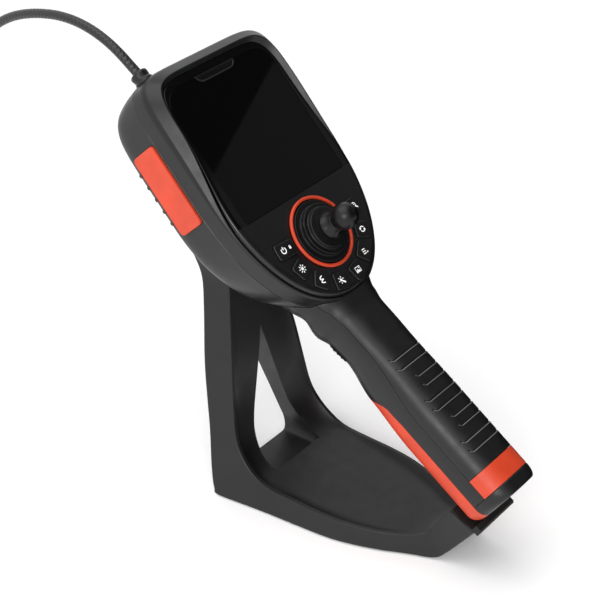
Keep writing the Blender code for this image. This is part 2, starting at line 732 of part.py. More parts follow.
def insertion_tube():
    route = [Vector(point) * MM for point in TUBE_ROUTE]
    wire("insertion_tube", smooth_points(route, 2), TUBE_RADIUS, TUBE)
    x, y = COIL_CENTRE
    top, middle = 4.0 * TUBE_RADIUS, (COIL_INNER + COIL_OUTER) / 2
    ring = ((middle, top), (COIL_OUTER - 1.5 * MM, top - 0.4 * MM), (COIL_OUTER, top - 2.5 * MM),
            (COIL_OUTER, 2.5 * MM), (COIL_OUTER - 2.5 * MM, 0.0), (COIL_INNER + 2.5 * MM, 0.0),
            (COIL_INNER, 2.5 * MM), (COIL_INNER, top - 2.5 * MM), (COIL_INNER + 1.5 * MM, top - 0.4 * MM))
    turned("insertion_tube_coil", ring, TUBE, None, place=(x, y, 0.0), steps=40)
    probe_y = y + COIL_OUTER - TUBE_RADIUS
    start = x + 26.5 * MM
    across = (0.0, math.radians(90.0), 0.0)
    cylinder("bending_neck", TUBE_RADIUS, NECK_LENGTH, (start + NECK_LENGTH / 2, probe_y, TUBE_RADIUS),
             RUBBER, None, turn=across, sides=16)
    tip = start + NECK_LENGTH + GAP
    head = cylinder("camera_head", TUBE_RADIUS, TIP_LENGTH, (tip + TIP_LENGTH / 2, probe_y, TUBE_RADIUS),
                    STEEL, None, turn=across, sides=24)
    place = (tip + TIP_LENGTH, probe_y, TUBE_RADIUS)
    cut(head, as_cutter(cylinder("lens_seat", 1.9 * MM, 2.0 * MM, place, None, None, turn=across, sides=20)))
    place = (tip + TIP_LENGTH - 0.45 * MM, probe_y, TUBE_RADIUS)
    cylinder("camera_lens", 1.6 * MM, 0.5 * MM, place, LENS, None, turn=across, sides=20)


# ---------------------------------------------------------------- stand

def stand_stations():
    """Outer and inner points (y, z) with their half widths, from the top of the column to the toe."""
    return (
        ((101.0, 8.0), (57.0, -33.0), 42.0, 38.0),
        ((92.0, -26.0), (60.5, -42.0), 39.0, 32.0),
        ((85.0, -50.0), (63.0, -56.0), 35.5, 28.5),
        ((81.6, -75.0), (60.0, -80.0), 37.8, 32.0),
        ((75.6, -118.0), (53.6, -118.0), 45.8, 39.0),
        ((69.2, -150.0), (49.0, -149.0), 51.3, 43.6),
        ((64.2, -172.0), (44.8, -173.0), 55.3, 46.8),
        ((58.0, -200.0), (38.5, -187.0), 61.8, 48.8),
        ((52.6, -217.0), (27.0, -199.0), 65.8, 50.4),
        ((46.6, -222.0), (12.0, -206.0), 66.3, 50.8),
        ((10.0, -222.0), (-10.0, -207.0), 61.3, 50.6),
        ((-25.0, -222.0), (-35.0, -207.0), 57.8, 50.4),
        ((-55.0, -222.0), (-58.0, -207.0), 53.8, 48.0),
        ((-85.0, -222.0), (-82.0, -207.0), 43.8, 41.5),
        ((-108.0, -222.0), (-102.0, -206.5), 32.8, 32.0),
        ((-126.0, -221.0), (-117.0, -202.5), 25.6, 25.6),
        ((-135.0, -213.0), (-124.5, -191.0), 23.4, 23.4),
        ((-147.0, -197.0), (-133.0, -177.5), 22.7, 22.7),
        ((-160.6, -178.6), (-141.2, -165.6), 22.0, 22.0),
    )


def stand_section(station, number, count):
    """One closed section: flat outer side, slanting flanks, a raised rim and a dished middle."""
    (outer_y, outer_z), (inner_y, inner_z), outer_half, inner_half = station
    depth = DISH_DEPTH * ease(2.0, 9.0, number) * (1.0 - ease(count - 5.0, count - 2.0, number))
    reach = Vector((outer_y - inner_y, outer_z - inner_z)).normalized()
    points = [(-outer_half, outer_y, outer_z), (outer_half, outer_y, outer_z)]
    edge = min(inner_half - 3.0, 0.94 * inner_half)
    points.append((inner_half, inner_y, inner_z))
    for step in range(9):
        across = edge * math.cos(math.pi * step / 8)
        sink = depth * (1.0 - (across / edge) ** 4) + 0.02
        points.append((across, inner_y + reach.x * sink, inner_z + reach.y * sink))
    points.append((-inner_half, inner_y, inner_z))
    return [(x * MM, y * MM, z * MM) for x, y, z in points]


def stand():
    stations = stand_stations()
    sections = [stand_section(station, number, len(stations)) for number, station in enumerate(stations)]
    made = loft("stand_frame", sections, STAND, STAND_FRAME, smooth=35.0)
    cut(made, column_opening_cutter())
    top_trim = as_cutter(box("column_top_cutter", (120.0 * MM, 160.0 * MM, 60.0 * MM),
                             (0.0, 50.0 * MM, BACK - PAD - 2.0 * GAP + 30.0 * MM), None, HEAD))
    cut(made, top_trim)
    cut(made, toe_top_cutter())
    for number, (x, y) in enumerate(((-50.0, 30.0), (50.0, 30.0), (-22.0, -98.0), (22.0, -98.0)), 1):
        seat = as_cutter(cylinder(f"foot_seat_{number}", FOOT_RADIUS + GAP, 2.0 * MM,
                                  (x * MM, y * MM, FLOOR), None, STAND_FRAME))
        cut(made, seat)
        cylinder(f"stand_foot_{number}", FOOT_RADIUS, 1.7 * MM, (x * MM, y * MM, FLOOR - 0.15 * MM),
                 RUBBER, STAND_FRAME)
    box("cradle_pad", (52.0 * MM, 30.0 * MM, PAD), (0.0, 52.0 * MM, BACK - GAP - PAD / 2), RUBBER, HEAD,
        rounding=0.8 * MM, steps=1)
    toe_pad()


def column_opening_cutter():
    """A tall triangle with a rounded foot, cut straight through the column."""
    half = [(0.0, -102.0), (6.5, -127.0), (15.8, -160.0), (24.0, -190.0), (28.0, -205.0), (26.0, -214.4)]
    outline = half + [(-x, z) for x, z in reversed(half[1:])]
    sections = [[(x * MM, depth * MM, z * MM) for x, z in outline] for depth in (20.0, 120.0)]
    made = loft("column_opening_cutter", sections, None, STAND_FRAME)
    return as_cutter(made)


def toe_top_cutter():
    """What is cut off the toe so that the handle's back rests along it."""
    profile = ((-190.0, -71.0), (-250.0, -61.5), (-250.0, -40.0), (-190.0, -40.0))
    sections = [[(x, y * MM, z * MM) for y, z in profile] for x in (-40.0 * MM, 40.0 * MM)]
    return as_cutter(loft("toe_top_cutter", sections, None, GRIP))


def toe_pad():
    """The black pad under the butt of the handle, with the lip that stops it."""
    profile = ((-209.5, -65.6), (-219.0, -65.8), (-229.6, -63.4), (-229.6, -57.5), (-234.2, -57.5),
               (-235.6, -59.0), (-235.6, -64.0), (-233.4, -64.0), (-209.5, -67.5))
    sections = [[(x, y * MM, z * MM) for y, z in profile] for x in (-22.0 * MM, 22.0 * MM)]
    loft("toe_pad", sections, RUBBER, GRIP)


def build():
    stand()
    front_shell()
    rear_shell()
    housing_screws()
    head_cutter = head_volume("head_trim", GAP)
    face_panel()
    screen_window()
    name_tab()
    keys()
    joystick()
    ports()
    handle(head_cutter)
    finger_pad()
    insides()
    gland(head_cutter)
    insertion_tube()


build()
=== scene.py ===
"""Looks of an industrial videoscope handset on its desk stand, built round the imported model.

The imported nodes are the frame. Most visible ones are replaced here by finer meshes of the
same parts, made from the same tables; the others keep their mesh and get a better material.

Three frames carry the pieces, all with their origin at the joystick's centre on the face:
  STAND   world axes
  HEAD    x across, y up the face, z out of the face
  GRIP    x across, y up the handle's axis, z out of its front
"""
import json
from math import atan2, copysign, cos, pi, radians, sin, sqrt

import bmesh
import bpy
from mathutils import Matrix, Vector


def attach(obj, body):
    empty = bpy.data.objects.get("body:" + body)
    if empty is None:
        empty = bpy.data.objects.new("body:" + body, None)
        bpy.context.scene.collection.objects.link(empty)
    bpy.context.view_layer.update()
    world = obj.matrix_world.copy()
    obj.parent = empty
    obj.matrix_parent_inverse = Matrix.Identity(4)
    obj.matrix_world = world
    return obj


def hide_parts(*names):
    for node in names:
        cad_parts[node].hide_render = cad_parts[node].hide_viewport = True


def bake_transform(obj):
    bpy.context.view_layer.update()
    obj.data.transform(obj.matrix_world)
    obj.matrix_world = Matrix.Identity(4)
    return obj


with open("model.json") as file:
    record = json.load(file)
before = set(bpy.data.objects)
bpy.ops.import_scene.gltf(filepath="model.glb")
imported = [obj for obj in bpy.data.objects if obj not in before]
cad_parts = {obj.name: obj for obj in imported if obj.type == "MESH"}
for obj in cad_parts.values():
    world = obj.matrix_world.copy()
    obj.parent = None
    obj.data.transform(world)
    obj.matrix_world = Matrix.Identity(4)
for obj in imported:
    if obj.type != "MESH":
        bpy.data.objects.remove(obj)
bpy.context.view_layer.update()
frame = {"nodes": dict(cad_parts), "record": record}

MM = 0.001


# ---- driving sizes, as in the CAD

PLACE = Vector((0.9, 20.3, 223.0)) * MM
STAND = Matrix.Translation(PLACE)
FACE_TILT = 46.0
GRIP_TILT = 34.0
HEAD = STAND @ Matrix.Rotation(radians(FACE_TILT), 4, "X")
GRIP = STAND @ Matrix.Rotation(radians(GRIP_TILT), 4, "X")

# millimetres from here on, and degrees for angles
HEAD_HALF_WIDTH = 70.0
HEAD_MIDDLE = 60.0
HEAD_TOP = 96.6
HEAD_BOTTOM = 110.0
TOP_SQUARENESS = 7.6
BOTTOM_SQUARENESS = 2.2
SEAM = -19.0
BACK = -57.0
WALL = 2.6
GAP = 0.3
PANEL_THICKNESS = 5.1
WINDOW_HALF_WIDTH = 55.5
WINDOW_LOW = 31.6
WINDOW_HIGH = 139.0
KEY_RADIUS = 38.4
KEY_SIZE = (13.0, 13.0)
POWER_KEY_SIZE = (19.0, 12.0)
KEY_FOOT = -4.0
KEY_ANGLES = {"key_zoom": 4.0, "key_rotate": -22.5, "key_menu": -49.0, "key_picture": -75.5,
              "key_lamp": -104.5, "key_curve": -131.0, "key_brightness": -157.5,
              "key_power": -184.0}
KEY_TOP = 1.5
RING_RADIUS = 26.3
WELL_RADIUS = 24.4
KNOB_HEIGHT = 29.5
KNOB_RADIUS = 10.0
BAND_START = 202.6
BAND_END = 218.6
BUTT = 229.0
STRIP_START = 102.0
PORT_MIDDLE = (82.3, -33.4)
TUBE_RADIUS = 3.5
COIL_CENTRE = (-93.1, 386.8)
COIL_OUTER = 46.0
COIL_INNER = 39.0
NECK_START = -66.6
NECK_LENGTH = 45.0


# ---- camera

CAMERA_PLACE = (-0.8386, -0.6167, 0.8320)
CAMERA_TURN = (57.68, 0.0, -52.01)
CAMERA_LENS = 102.0
CAMERA_SENSOR = 36.0
CAMERA_REACH = 20.0


def add_object(name, data):
    made = bpy.data.objects.new(name, data)
    bpy.context.scene.collection.objects.link(made)
    return made


def add_camera():
    data = bpy.data.cameras.new("camera")
    data.sensor_width = CAMERA_SENSOR
    data.lens = CAMERA_LENS
    data.clip_end = CAMERA_REACH
    camera = add_object("camera", data)
    camera.location = CAMERA_PLACE
    camera.rotation_euler = [radians(turn) for turn in CAMERA_TURN]
    bpy.context.scene.camera = camera


add_camera()


# ---- materials

def new_material(name, colour, roughness, **more):
    made = bpy.data.materials.new(name)
    made.use_nodes = True
    shader = made.node_tree.nodes["Principled BSDF"]
    shader.inputs["Base Color"].default_value = (*colour, 1.0)
    shader.inputs["Roughness"].default_value = roughness
    for socket, value in more.items():
        shader.inputs[socket.replace("_", " ")].default_value = value
    return made


def add_node(look, kind, **inputs):
    node = look.node_tree.nodes.new(kind)
    for socket, value in inputs.items():
        node.inputs[socket].default_value = value
    return node


def shader_input(look, socket):
    return look.node_tree.nodes["Principled BSDF"].inputs[socket]


def join(look, output, socket):
    """Link an output to a socket, or to the shader's socket of that name."""
    if isinstance(socket, str):
        socket = shader_input(look, socket)
    look.node_tree.links.new(output, socket)


def object_noise(look, scale, detail=3.0, roughness=0.55):
    """A noise in the piece's own metres."""
    coords = add_node(look, "ShaderNodeTexCoord")
    noise = add_node(look, "ShaderNodeTexNoise", Scale=scale, Detail=detail, Roughness=roughness)
    join(look, coords.outputs["Object"], noise.inputs["Vector"])
    return noise.outputs["Fac"]


def spread(look, value, low, high, start=0.3, end=0.7):
    """Map start to end of a value onto low to high."""
    node = add_node(look, "ShaderNodeMapRange",
                    **{"From Min": start, "From Max": end, "To Min": low, "To Max": high})
    join(look, value, node.inputs["Value"])
    return node.outputs["Result"]


def tint(look, factor, low, high):
    """Mix two colours by a value."""
    ramp = add_node(look, "ShaderNodeValToRGB")
    for element, colour in zip(ramp.color_ramp.elements, (low, high)):
        element.color = (*colour, 1.0)
    join(look, factor, ramp.inputs["Fac"])
    return ramp.outputs["Color"]


def over(look, factor, under, upper):
    """Lay one colour over another by a mask."""
    node = add_node(look, "ShaderNodeMix")
    node.data_type = "RGBA"
    for output, socket in ((factor, "Factor"), (under, "A"), (upper, "B")):
        join(look, output, node.inputs[socket])
    return node.outputs["Result"]


def measured(look, output, way):
    """How far a coordinate lies along a direction."""
    node = add_node(look, "ShaderNodeVectorMath")
    node.operation = "DOT_PRODUCT"
    node.inputs[1].default_value = tuple(way)
    join(look, output, node.inputs[0])
    return node.outputs["Value"]


def bump(look, height, distance):
    node = add_node(look, "ShaderNodeBump", Distance=distance)
    join(look, height, node.inputs["Height"])
    join(look, node.outputs["Normal"], "Normal")


def shade(colour, factor):
    return tuple(value * factor for value in colour)


CLOUD_SCALE = 38.0
CLOUD_CONTRAST = 0.12
SMUDGE_SCALE = 95.0
EDGE_START = 0.515
EDGE_FULL = 0.59


def moulded(name, colour, roughness, grain=2400.0, depth=0.012, edge_wear_and_highlight=0.25, paler=7.0, **more):
    """Moulded plastic or rubber: spark-eroded grain, faint clouding, and paler edges, partly
    scuffing and partly a painted highlight.
    """
    look = new_material(name, colour, roughness, **more)
    clouds = object_noise(look, CLOUD_SCALE, 4.0)
    plain = tint(look, spread(look, clouds, 0.0, 1.0),
                 shade(colour, 1.0 - CLOUD_CONTRAST), shade(colour, 1.0 + CLOUD_CONTRAST))
    # Sharp edges are painted paler: partly scuffing, partly a painted highlight where edges catch
    # the light.
    edge = add_node(look, "ShaderNodeNewGeometry").outputs["Pointiness"]
    scuff_and_highlight = spread(look, edge, 0.0, edge_wear_and_highlight, EDGE_START, EDGE_FULL)
    pale = shade(colour, paler)
    scuffed_and_highlit = tint(look, clouds, pale, shade(pale, 1.3))
    join(look, over(look, scuff_and_highlight, plain, scuffed_and_highlit), "Base Color")
    smudge = object_noise(look, SMUDGE_SCALE, 5.0, 0.6)
    join(look, spread(look, smudge, roughness - 0.05, roughness + 0.06), "Roughness")
    bump(look, object_noise(look, grain, 2.0, 0.4), depth * MM)
    return look


BLACK_RUBBER = (0.0042, 0.0043, 0.0046)

# Each finish's edge setting paints its edges paler; on the stand and the stick's bellows this is
# mostly a painted edge highlight.
SHELL = moulded("shell", (0.0075, 0.0077, 0.0083), 0.33, edge_wear_and_highlight=0.08, paler=3.0,
                Specular_IOR_Level=0.4)
STAND_LOOK = moulded("stand", (0.0085, 0.0085, 0.0090), 0.42, grain=1900.0, depth=0.016,
                     edge_wear_and_highlight=0.3, paler=5.0, Specular_IOR_Level=0.42)
PANEL = moulded("panel", (0.0060, 0.0061, 0.0066), 0.31, grain=3200.0, depth=0.006, edge_wear_and_highlight=0.0)
RUBBER = moulded("rubber", BLACK_RUBBER, 0.38, grain=2600.0, depth=0.018, edge_wear_and_highlight=0.15)
GRIP_RUBBER = moulded("grip_rubber", BLACK_RUBBER, 0.40, grain=2100.0, depth=0.03, edge_wear_and_highlight=0.1)
STICK_RUBBER = moulded("stick_rubber", (0.0034, 0.0035, 0.0040), 0.32, grain=2600.0, edge_wear_and_highlight=0.9,
                       Specular_IOR_Level=0.35)
# A matte near-black finish for the toe's lip under the handle's butt.
MATTE_BLACK_LIP = moulded("matte_black_lip", (0.004, 0.004, 0.0042), 0.7, edge_wear_and_highlight=0.0)
ORANGE = moulded("orange", (0.60, 0.048, 0.013), 0.44, grain=2800.0, depth=0.008, edge_wear_and_highlight=0.0)


def paint_groove_highlights(look):
    """Painted highlight lines where the mesh carries them."""
    base = shader_input(look, "Base Color")
    plain = base.links[0].from_socket
    layer = add_node(look, "ShaderNodeAttribute")
    layer.attribute_name = "groove_highlight"
    groove_highlight = layer.outputs["Fac"]
    # Light grey along each groove's lip, a painted highlight.
    pale = tint(look, groove_highlight, (0.06, 0.06, 0.062), (0.16, 0.16, 0.165))
    join(look, over(look, groove_highlight, plain, pale), base)


paint_groove_highlights(GRIP_RUBBER)


BORDER_EDGE = 0.1
BORDER_ROUGHNESS = 0.09


def glossy_border(look):
    """Above the keypad the panel is as black and glossy as the glass it frames."""
    up = HEAD.to_3x3() @ Vector((0.0, 1.0, 0.0))
    height = measured(look, add_node(look, "ShaderNodeTexCoord").outputs["Object"], up)
    edge = up.dot(PLACE) + WINDOW_LOW * MM
    mask = spread(look, height, 0.0, 1.0, edge - BORDER_EDGE * MM, edge + BORDER_EDGE * MM)
    base, rough = shader_input(look, "Base Color"), shader_input(look, "Roughness")
    black = tint(look, object_noise(look, 60.0), (0.001, 0.001, 0.0011), (0.0014, 0.0014, 0.0016))
    join(look, over(look, mask, base.links[0].from_socket, black), base)
    shine = add_node(look, "ShaderNodeMix", B=BORDER_ROUGHNESS)
    join(look, mask, shine.inputs["Factor"])
    join(look, rough.links[0].from_socket, shine.inputs["A"])
    join(look, shine.outputs["Result"], rough)


glossy_border(PANEL)


def glass_look():
    look = new_material("glass", (0.001, 0.001, 0.0012), 0.03, Specular_IOR_Level=0.3)
    smears = object_noise(look, 60.0, 6.0, 0.65)
    join(look, spread(look, smears, 0.02, 0.05), "Roughness")
    return look


def metal_look(name, colour, roughness):
    look = new_material(name, colour, roughness, Metallic=1.0)
    scratches = object_noise(look, 700.0, 6.0, 0.7)
    join(look, spread(look, scratches, roughness - 0.08, roughness + 0.12), "Roughness")
    bump(look, scratches, 0.006 * MM)
    return look


def board_look():
    """Solder resist with a faint grid of tracks."""
    resist = (0.012, 0.075, 0.028)
    look = new_material("board", resist, 0.4)
    coords = add_node(look, "ShaderNodeTexCoord")
    tracks = add_node(look, "ShaderNodeTexBrick", Scale=260.0, Color1=(*resist, 1.0),
                      Color2=(0.014, 0.088, 0.033, 1.0), Mortar=(0.03, 0.15, 0.06, 1.0))
    join(look, coords.outputs["Object"], tracks.inputs["Vector"])
    join(look, tracks.outputs["Color"], "Base Color")
    bump(look, tracks.outputs["Fac"], 0.03 * MM)
    return look


BRAID_STRANDS = 12.0
WAVE_RATE = 20.0
BRAID_DEPTH = 0.22


def braid_look():
    """Two sets of crossing strands, laid out on the tube's own length and turn."""
    look = new_material("tube", (0.006, 0.006, 0.0066), 0.24, Specular_IOR_Level=0.45)
    coords = add_node(look, "ShaderNodeUVMap")
    coords.uv_map = "along"
    lift = add_node(look, "ShaderNodeMath")
    lift.operation = "MAXIMUM"
    for number, lean in enumerate((1.0, -1.0)):
        leaning = add_node(look, "ShaderNodeMapping",
                           Scale=(BRAID_STRANDS, BRAID_STRANDS * lean, 1.0))
        join(look, coords.outputs["UV"], leaning.inputs["Vector"])
        wave = add_node(look, "ShaderNodeTexWave", Scale=2.0 * pi / WAVE_RATE)
        wave.bands_direction = "DIAGONAL"
        join(look, leaning.outputs["Vector"], wave.inputs["Vector"])
        join(look, wave.outputs["Fac"], lift.inputs[number])
    height = lift.outputs["Value"]
    # The colour follows the strands' height: the hollows are darker, a painted shade, and the
    # crests paler, a painted highlight.
    join(look, tint(look, height, (0.001, 0.001, 0.0012), (0.022, 0.022, 0.024)), "Base Color")
    join(look, spread(look, height, 0.45, 0.2, 0.0, 1.0), "Roughness")
    bump(look, height, BRAID_DEPTH * MM)
    return look


GLASS = glass_look()
# The tab's strong edge setting paints a pale line round its raised rim, a painted highlight.
TAB = moulded("tab", (0.0022, 0.0022, 0.0024), 0.24, depth=0.003, edge_wear_and_highlight=0.9)
STEEL = metal_look("steel", (0.56, 0.56, 0.58), 0.3)
BOARD = board_look()
CELL = moulded("cell", (0.035, 0.07, 0.17), 0.45, edge_wear_and_highlight=0.0)
TUBE = braid_look()
LENS = new_material("lens", (0.006, 0.008, 0.016), 0.04, Coat_Weight=1.0)
# The signs' white ink also glows faintly, a painted glow that keeps it bright.
GLOWING_PRINT = moulded("glowing_print", (0.88, 0.88, 0.87), 0.5, edge_wear_and_highlight=0.0,
                Emission_Color=(1.0, 1.0, 1.0, 1.0), Emission_Strength=0.3)

SLOT_LOOKS = {"shell": SHELL, "stand": STAND_LOOK, "panel": PANEL, "glass": GLASS,
              "rubber": RUBBER, "orange": ORANGE, "board": BOARD, "steel": STEEL,
              "tube": TUBE, "cell": CELL, "lens": LENS}
for part in frame["record"]["subparts"]:
    carried = frame["nodes"][part["node"]]
    carried.data.materials.clear()
    carried.data.materials.append(SLOT_LOOKS[part["material_slot"]])


# ---- mesh helpers

def mix(low, high, share):
    return low + (high - low) * share


def ease(low, high, value):
    share = min(1.0, max(0.0, (value - low) / (high - low)))
    return share * share * (3.0 - 2.0 * share)


def follow(table, along):
    """Ease between the (distance, value) rows of a short table."""
    if along <= table[0][0]:
        return table[0][1]
    for (start, low), (end, high) in zip(table, table[1:]):
        if along <= end:
            return mix(low, high, ease(start, end, along))
    return table[-1][1]


def smooth_points(points, per_span):
    """A Catmull-Rom curve through the points, which are Vectors of any size."""
    padded = [points[0] * 2.0 - points[1], *points, points[-1] * 2.0 - points[-2]]
    found = []
    for a, b, c, d in zip(padded, padded[1:], padded[2:], padded[3:]):
        for step in range(per_span):
            t = step / per_span
            found.append(0.5 * (2.0 * b + (c - a) * t
                                + (2.0 * a - 5.0 * b + 4.0 * c - d) * t * t
                                + (3.0 * b - a - 3.0 * c + d) * t * t * t))
    found.append(points[-1])
    return found


def rounded(outline, radii, steps=4):
    """Replace each corner of a closed 2-D outline by a small curve of its own radius."""
    count = len(outline)
    found = []
    for i, (corner, radius) in enumerate(zip(outline, radii)):
        here = Vector(corner)
        if radius <= 0.0:
            found.append(tuple(here))
            continue
        before = Vector(outline[i - 1]) - here
        after = Vector(outline[(i + 1) % count]) - here
        reach_in = min(radius, before.length * 0.49)
        reach_out = min(radius, after.length * 0.49)
        start = here + before.normalized() * reach_in
        end = here + after.normalized() * reach_out
        for step in range(steps + 1):
            t = step / steps
            found.append(tuple(start * (1 - t) ** 2 + here * 2.0 * t * (1 - t) + end * t * t))
    return found


def rounded_rows(rows, steps=4):
    """The same from (x, y, corner radius) rows."""
    return rounded([row[:2] for row in rows], [row[2] for row in rows], steps)


def at(base, x, y, z):
    """A frame moved by millimetres of its own."""
    return base @ Matrix.Translation(Vector((x, y, z)) * MM)


def finish_mesh(name, work, look, matrix, smooth):
    """Turn millimetres of a frame into a piece; edges steeper than smooth degrees stay sharp."""
    bmesh.ops.recalc_face_normals(work, faces=work.faces)
    mesh = bpy.data.meshes.new(name)
    work.to_mesh(mesh)
    work.free()
    mesh.transform(matrix @ Matrix.Diagonal((MM, MM, MM, 1.0)))
    if look:
        mesh.materials.append(look)
    mesh.shade_smooth()
    mesh.set_sharp_from_angle(angle=radians(smooth))
    return add_object(name, mesh)


def skin(work, low, high):
    """Faces between two closed loops with equal point counts."""
    for i in range(len(low)):
        j = (i + 1) % len(low)
        work.faces.new((low[i], low[j], high[j], high[i]))


def loft(name, sections, look, matrix, ring=False, smooth=32.0):
    """Skin a list of closed sections with equal point counts, in millimetres of one frame."""
    work = bmesh.new()
    loops = [[work.verts.new(point) for point in section] for section in sections]
    pairs = list(zip(loops, loops[1:]))
    if ring:
        pairs.append((loops[-1], loops[0]))
    for low, high in pairs:
        skin(work, low, high)
    if not ring:
        work.faces.new(list(reversed(loops[0])))
        work.faces.new(loops[-1])
    return finish_mesh(name, work, look, matrix, smooth)


def turned(name, profile, look, matrix, steps=96, smooth=32.0):
    """Turn a closed (radius, height) profile about Z; radius 0 points close it on the axis."""
    work = bmesh.new()
    columns = []
    for step in range(steps):
        angle = 2.0 * pi * step / steps
        columns.append([work.verts.new((r * cos(angle), r * sin(angle), h))
                        for r, h in profile])
    count = len(profile)
    for step in range(steps):
        one, two = columns[step], columns[(step + 1) % steps]
        for i in range(count):
            j = (i + 1) % count
            work.faces.new((one[i], two[i], two[j], one[j]))
    bmesh.ops.remove_doubles(work, verts=work.verts, dist=0.0005)
    return finish_mesh(name, work, look, matrix, smooth)


def slab(name, outline, low, high, edge, look, matrix, steps=4, smooth=32.0):
    """A 2-D outline as a flat piece with its upper edge rounded."""
    middle = Vector((sum(x for x, _ in outline), sum(y for _, y in outline))) / len(outline)
    reach = max((Vector(point) - middle).length for point in outline)
    sections = [[(x, y, low) for x, y in outline]]
    for step in range(steps + 1):
        turn = 0.5 * pi * step / steps
        shrink = 1.0 - edge * (1.0 - cos(turn)) / reach
        height = high - edge + edge * sin(turn)
        sections.append([(middle.x + (x - middle.x) * shrink,
                          middle.y + (y - middle.y) * shrink, height) for x, y in outline])
    return loft(name, sections, look, matrix, smooth=smooth)


def stepped(name, profile, outline_at, look, matrix, smooth=32.0):
    """A flat piece whose outline changes with the (inset, height) rows of its edge."""
    sections = [[(x, y, height) for x, y in outline_at(inset)] for inset, height in profile]
    return loft(name, sections, look, matrix, smooth=smooth)


def rectangle(half_x, half_y):
    return [(half_x, half_y), (-half_x, half_y), (-half_x, -half_y), (half_x, -half_y)]


def cut(target, cutter, smooth=32.0):
    """Take the cutter's volume out of the target, and remove the cutter."""
    modifier = target.modifiers.new("cut", "BOOLEAN")
    modifier.operation = "DIFFERENCE"
    modifier.solver = "EXACT"
    modifier.object = cutter
    bpy.context.view_layer.update()
    evaluated = target.evaluated_get(bpy.context.evaluated_depsgraph_get())
    result = bpy.data.meshes.new_from_object(evaluated)
    target.modifiers.clear()
    old = target.data
    target.data = result
    result.name = target.name
    result.set_sharp_from_angle(angle=radians(smooth))
    bpy.data.meshes.remove(old)
    bpy.data.objects.remove(cutter)


def drill(target, radius, reach, matrix, steps=48):
    """Cut a round hole that reaches as far to either side of the frame's origin."""
    profile = [(0.0, -reach), (radius, -reach), (radius, reach), (0.0, reach)]
    cut(target, turned("drill", profile, None, matrix, steps))


def punch(target, outline, reach, matrix):
    """Cut an outline through in the same way."""
    cut(target, slab("punch", outline, -reach, reach, 0.01, None, matrix))


def even_shading(target):
    """Let the large faces set the normals, so flats stay flat beside their rounded edges."""
    modifier = target.modifiers.new("normals", "WEIGHTED_NORMAL")
    modifier.keep_sharp = True
    modifier.weight = 80


def soften(target, width, angle=40.0):
    bevel = target.modifiers.new("edges", "BEVEL")
    bevel.width = width * MM
    bevel.segments = 2
    bevel.limit_method = "ANGLE"
    bevel.angle_limit = radians(angle)
    bevel.harden_normals = False


def place(piece, slot, *nodes, body="handset"):
    """Ride on a body and stand for CAD nodes; the slot is not used."""
    if nodes:
        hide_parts(*nodes)
    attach(piece, body)
    even_shading(piece)
    return piece


def place_between(piece, node):
    """Stand for a CAD node that runs from one body to the next, with the piece's transform baked
    in.
    """
    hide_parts(node)
    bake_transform(piece)


def superellipse(angle, half_width, half_height, power):
    across, along = cos(angle), sin(angle)
    total = abs(across / half_width) ** power + abs(along / half_height) ** power
    reach = total ** (-1.0 / power)
    return reach * across, reach * along


# ---- insertion tube

TUBE_ROUTE = (
    (-47.1, 143.0, 326.2), (-47.1, 147.7, 329.5), (-47.5, 153.3, 333.8), (-47.9, 160.4, 339.0),
    (-48.3, 168.6, 344.0), (-48.7, 177.8, 348.3), (-49.1, 188.8, 351.8), (-49.1, 201.3, 353.7),
    (-49.1, 213.8, 353.9), (-49.1, 226.8, 352.6), (-49.1, 243.8, 349.0), (-49.1, 260.8, 343.4),
    (-49.1, 276.8, 335.5), (-49.1, 292.3, 324.5), (-49.1, 306.8, 310.0), (-49.1, 319.8, 291.5),
    (-49.1, 330.3, 269.0), (-49.1, 337.3, 243.5), (-49.1, 341.3, 214.0), (-49.1, 342.8, 180.0),
    (-49.1, 342.8, 145.0), (-49.1, 342.3, 110.0), (-49.4, 341.6, 80.0), (-50.6, 341.0, 56.0),
    (-54.6, 340.8, 38.0), (-61.1, 340.8, 25.5), (-68.6, 340.8, 18.4),
)
COIL_TURNS = 3.5
COIL_STEPS = 28
COIL_LIFT = 3.0 * TUBE_RADIUS
PROBE_Y = COIL_CENTRE[1] + COIL_OUTER
SLEEVE_RIBS = 15
SLEEVE_STOPS = 6
SLEEVE_DEPTH = 0.12


def coil_points():
    """Clockwise from the near side: outer and inner turn above, inner and outer turn below."""
    found = []
    for step in range(int(COIL_TURNS * COIL_STEPS) + 1):
        turn = step / COIL_STEPS
        radius = mix(COIL_OUTER, COIL_INNER, ease(0.80, 0.98, turn) - ease(2.55, 2.73, turn))
        height = mix(COIL_LIFT, TUBE_RADIUS, ease(1.66, 1.86, turn))
        angle = radians(-90.0 - 360.0 * turn)
        found.append((COIL_CENTRE[0] + radius * cos(angle),
                      COIL_CENTRE[1] + radius * sin(angle), height))
    return found


def tube_path():
    run_out = [(mix(COIL_CENTRE[0], NECK_START, share), PROBE_Y, TUBE_RADIUS)
               for share in (0.35, 0.7, 1.0)]
    points = [Vector(point) for point in (*TUBE_ROUTE, *coil_points(), *run_out)]
    return smooth_points(points, 4)


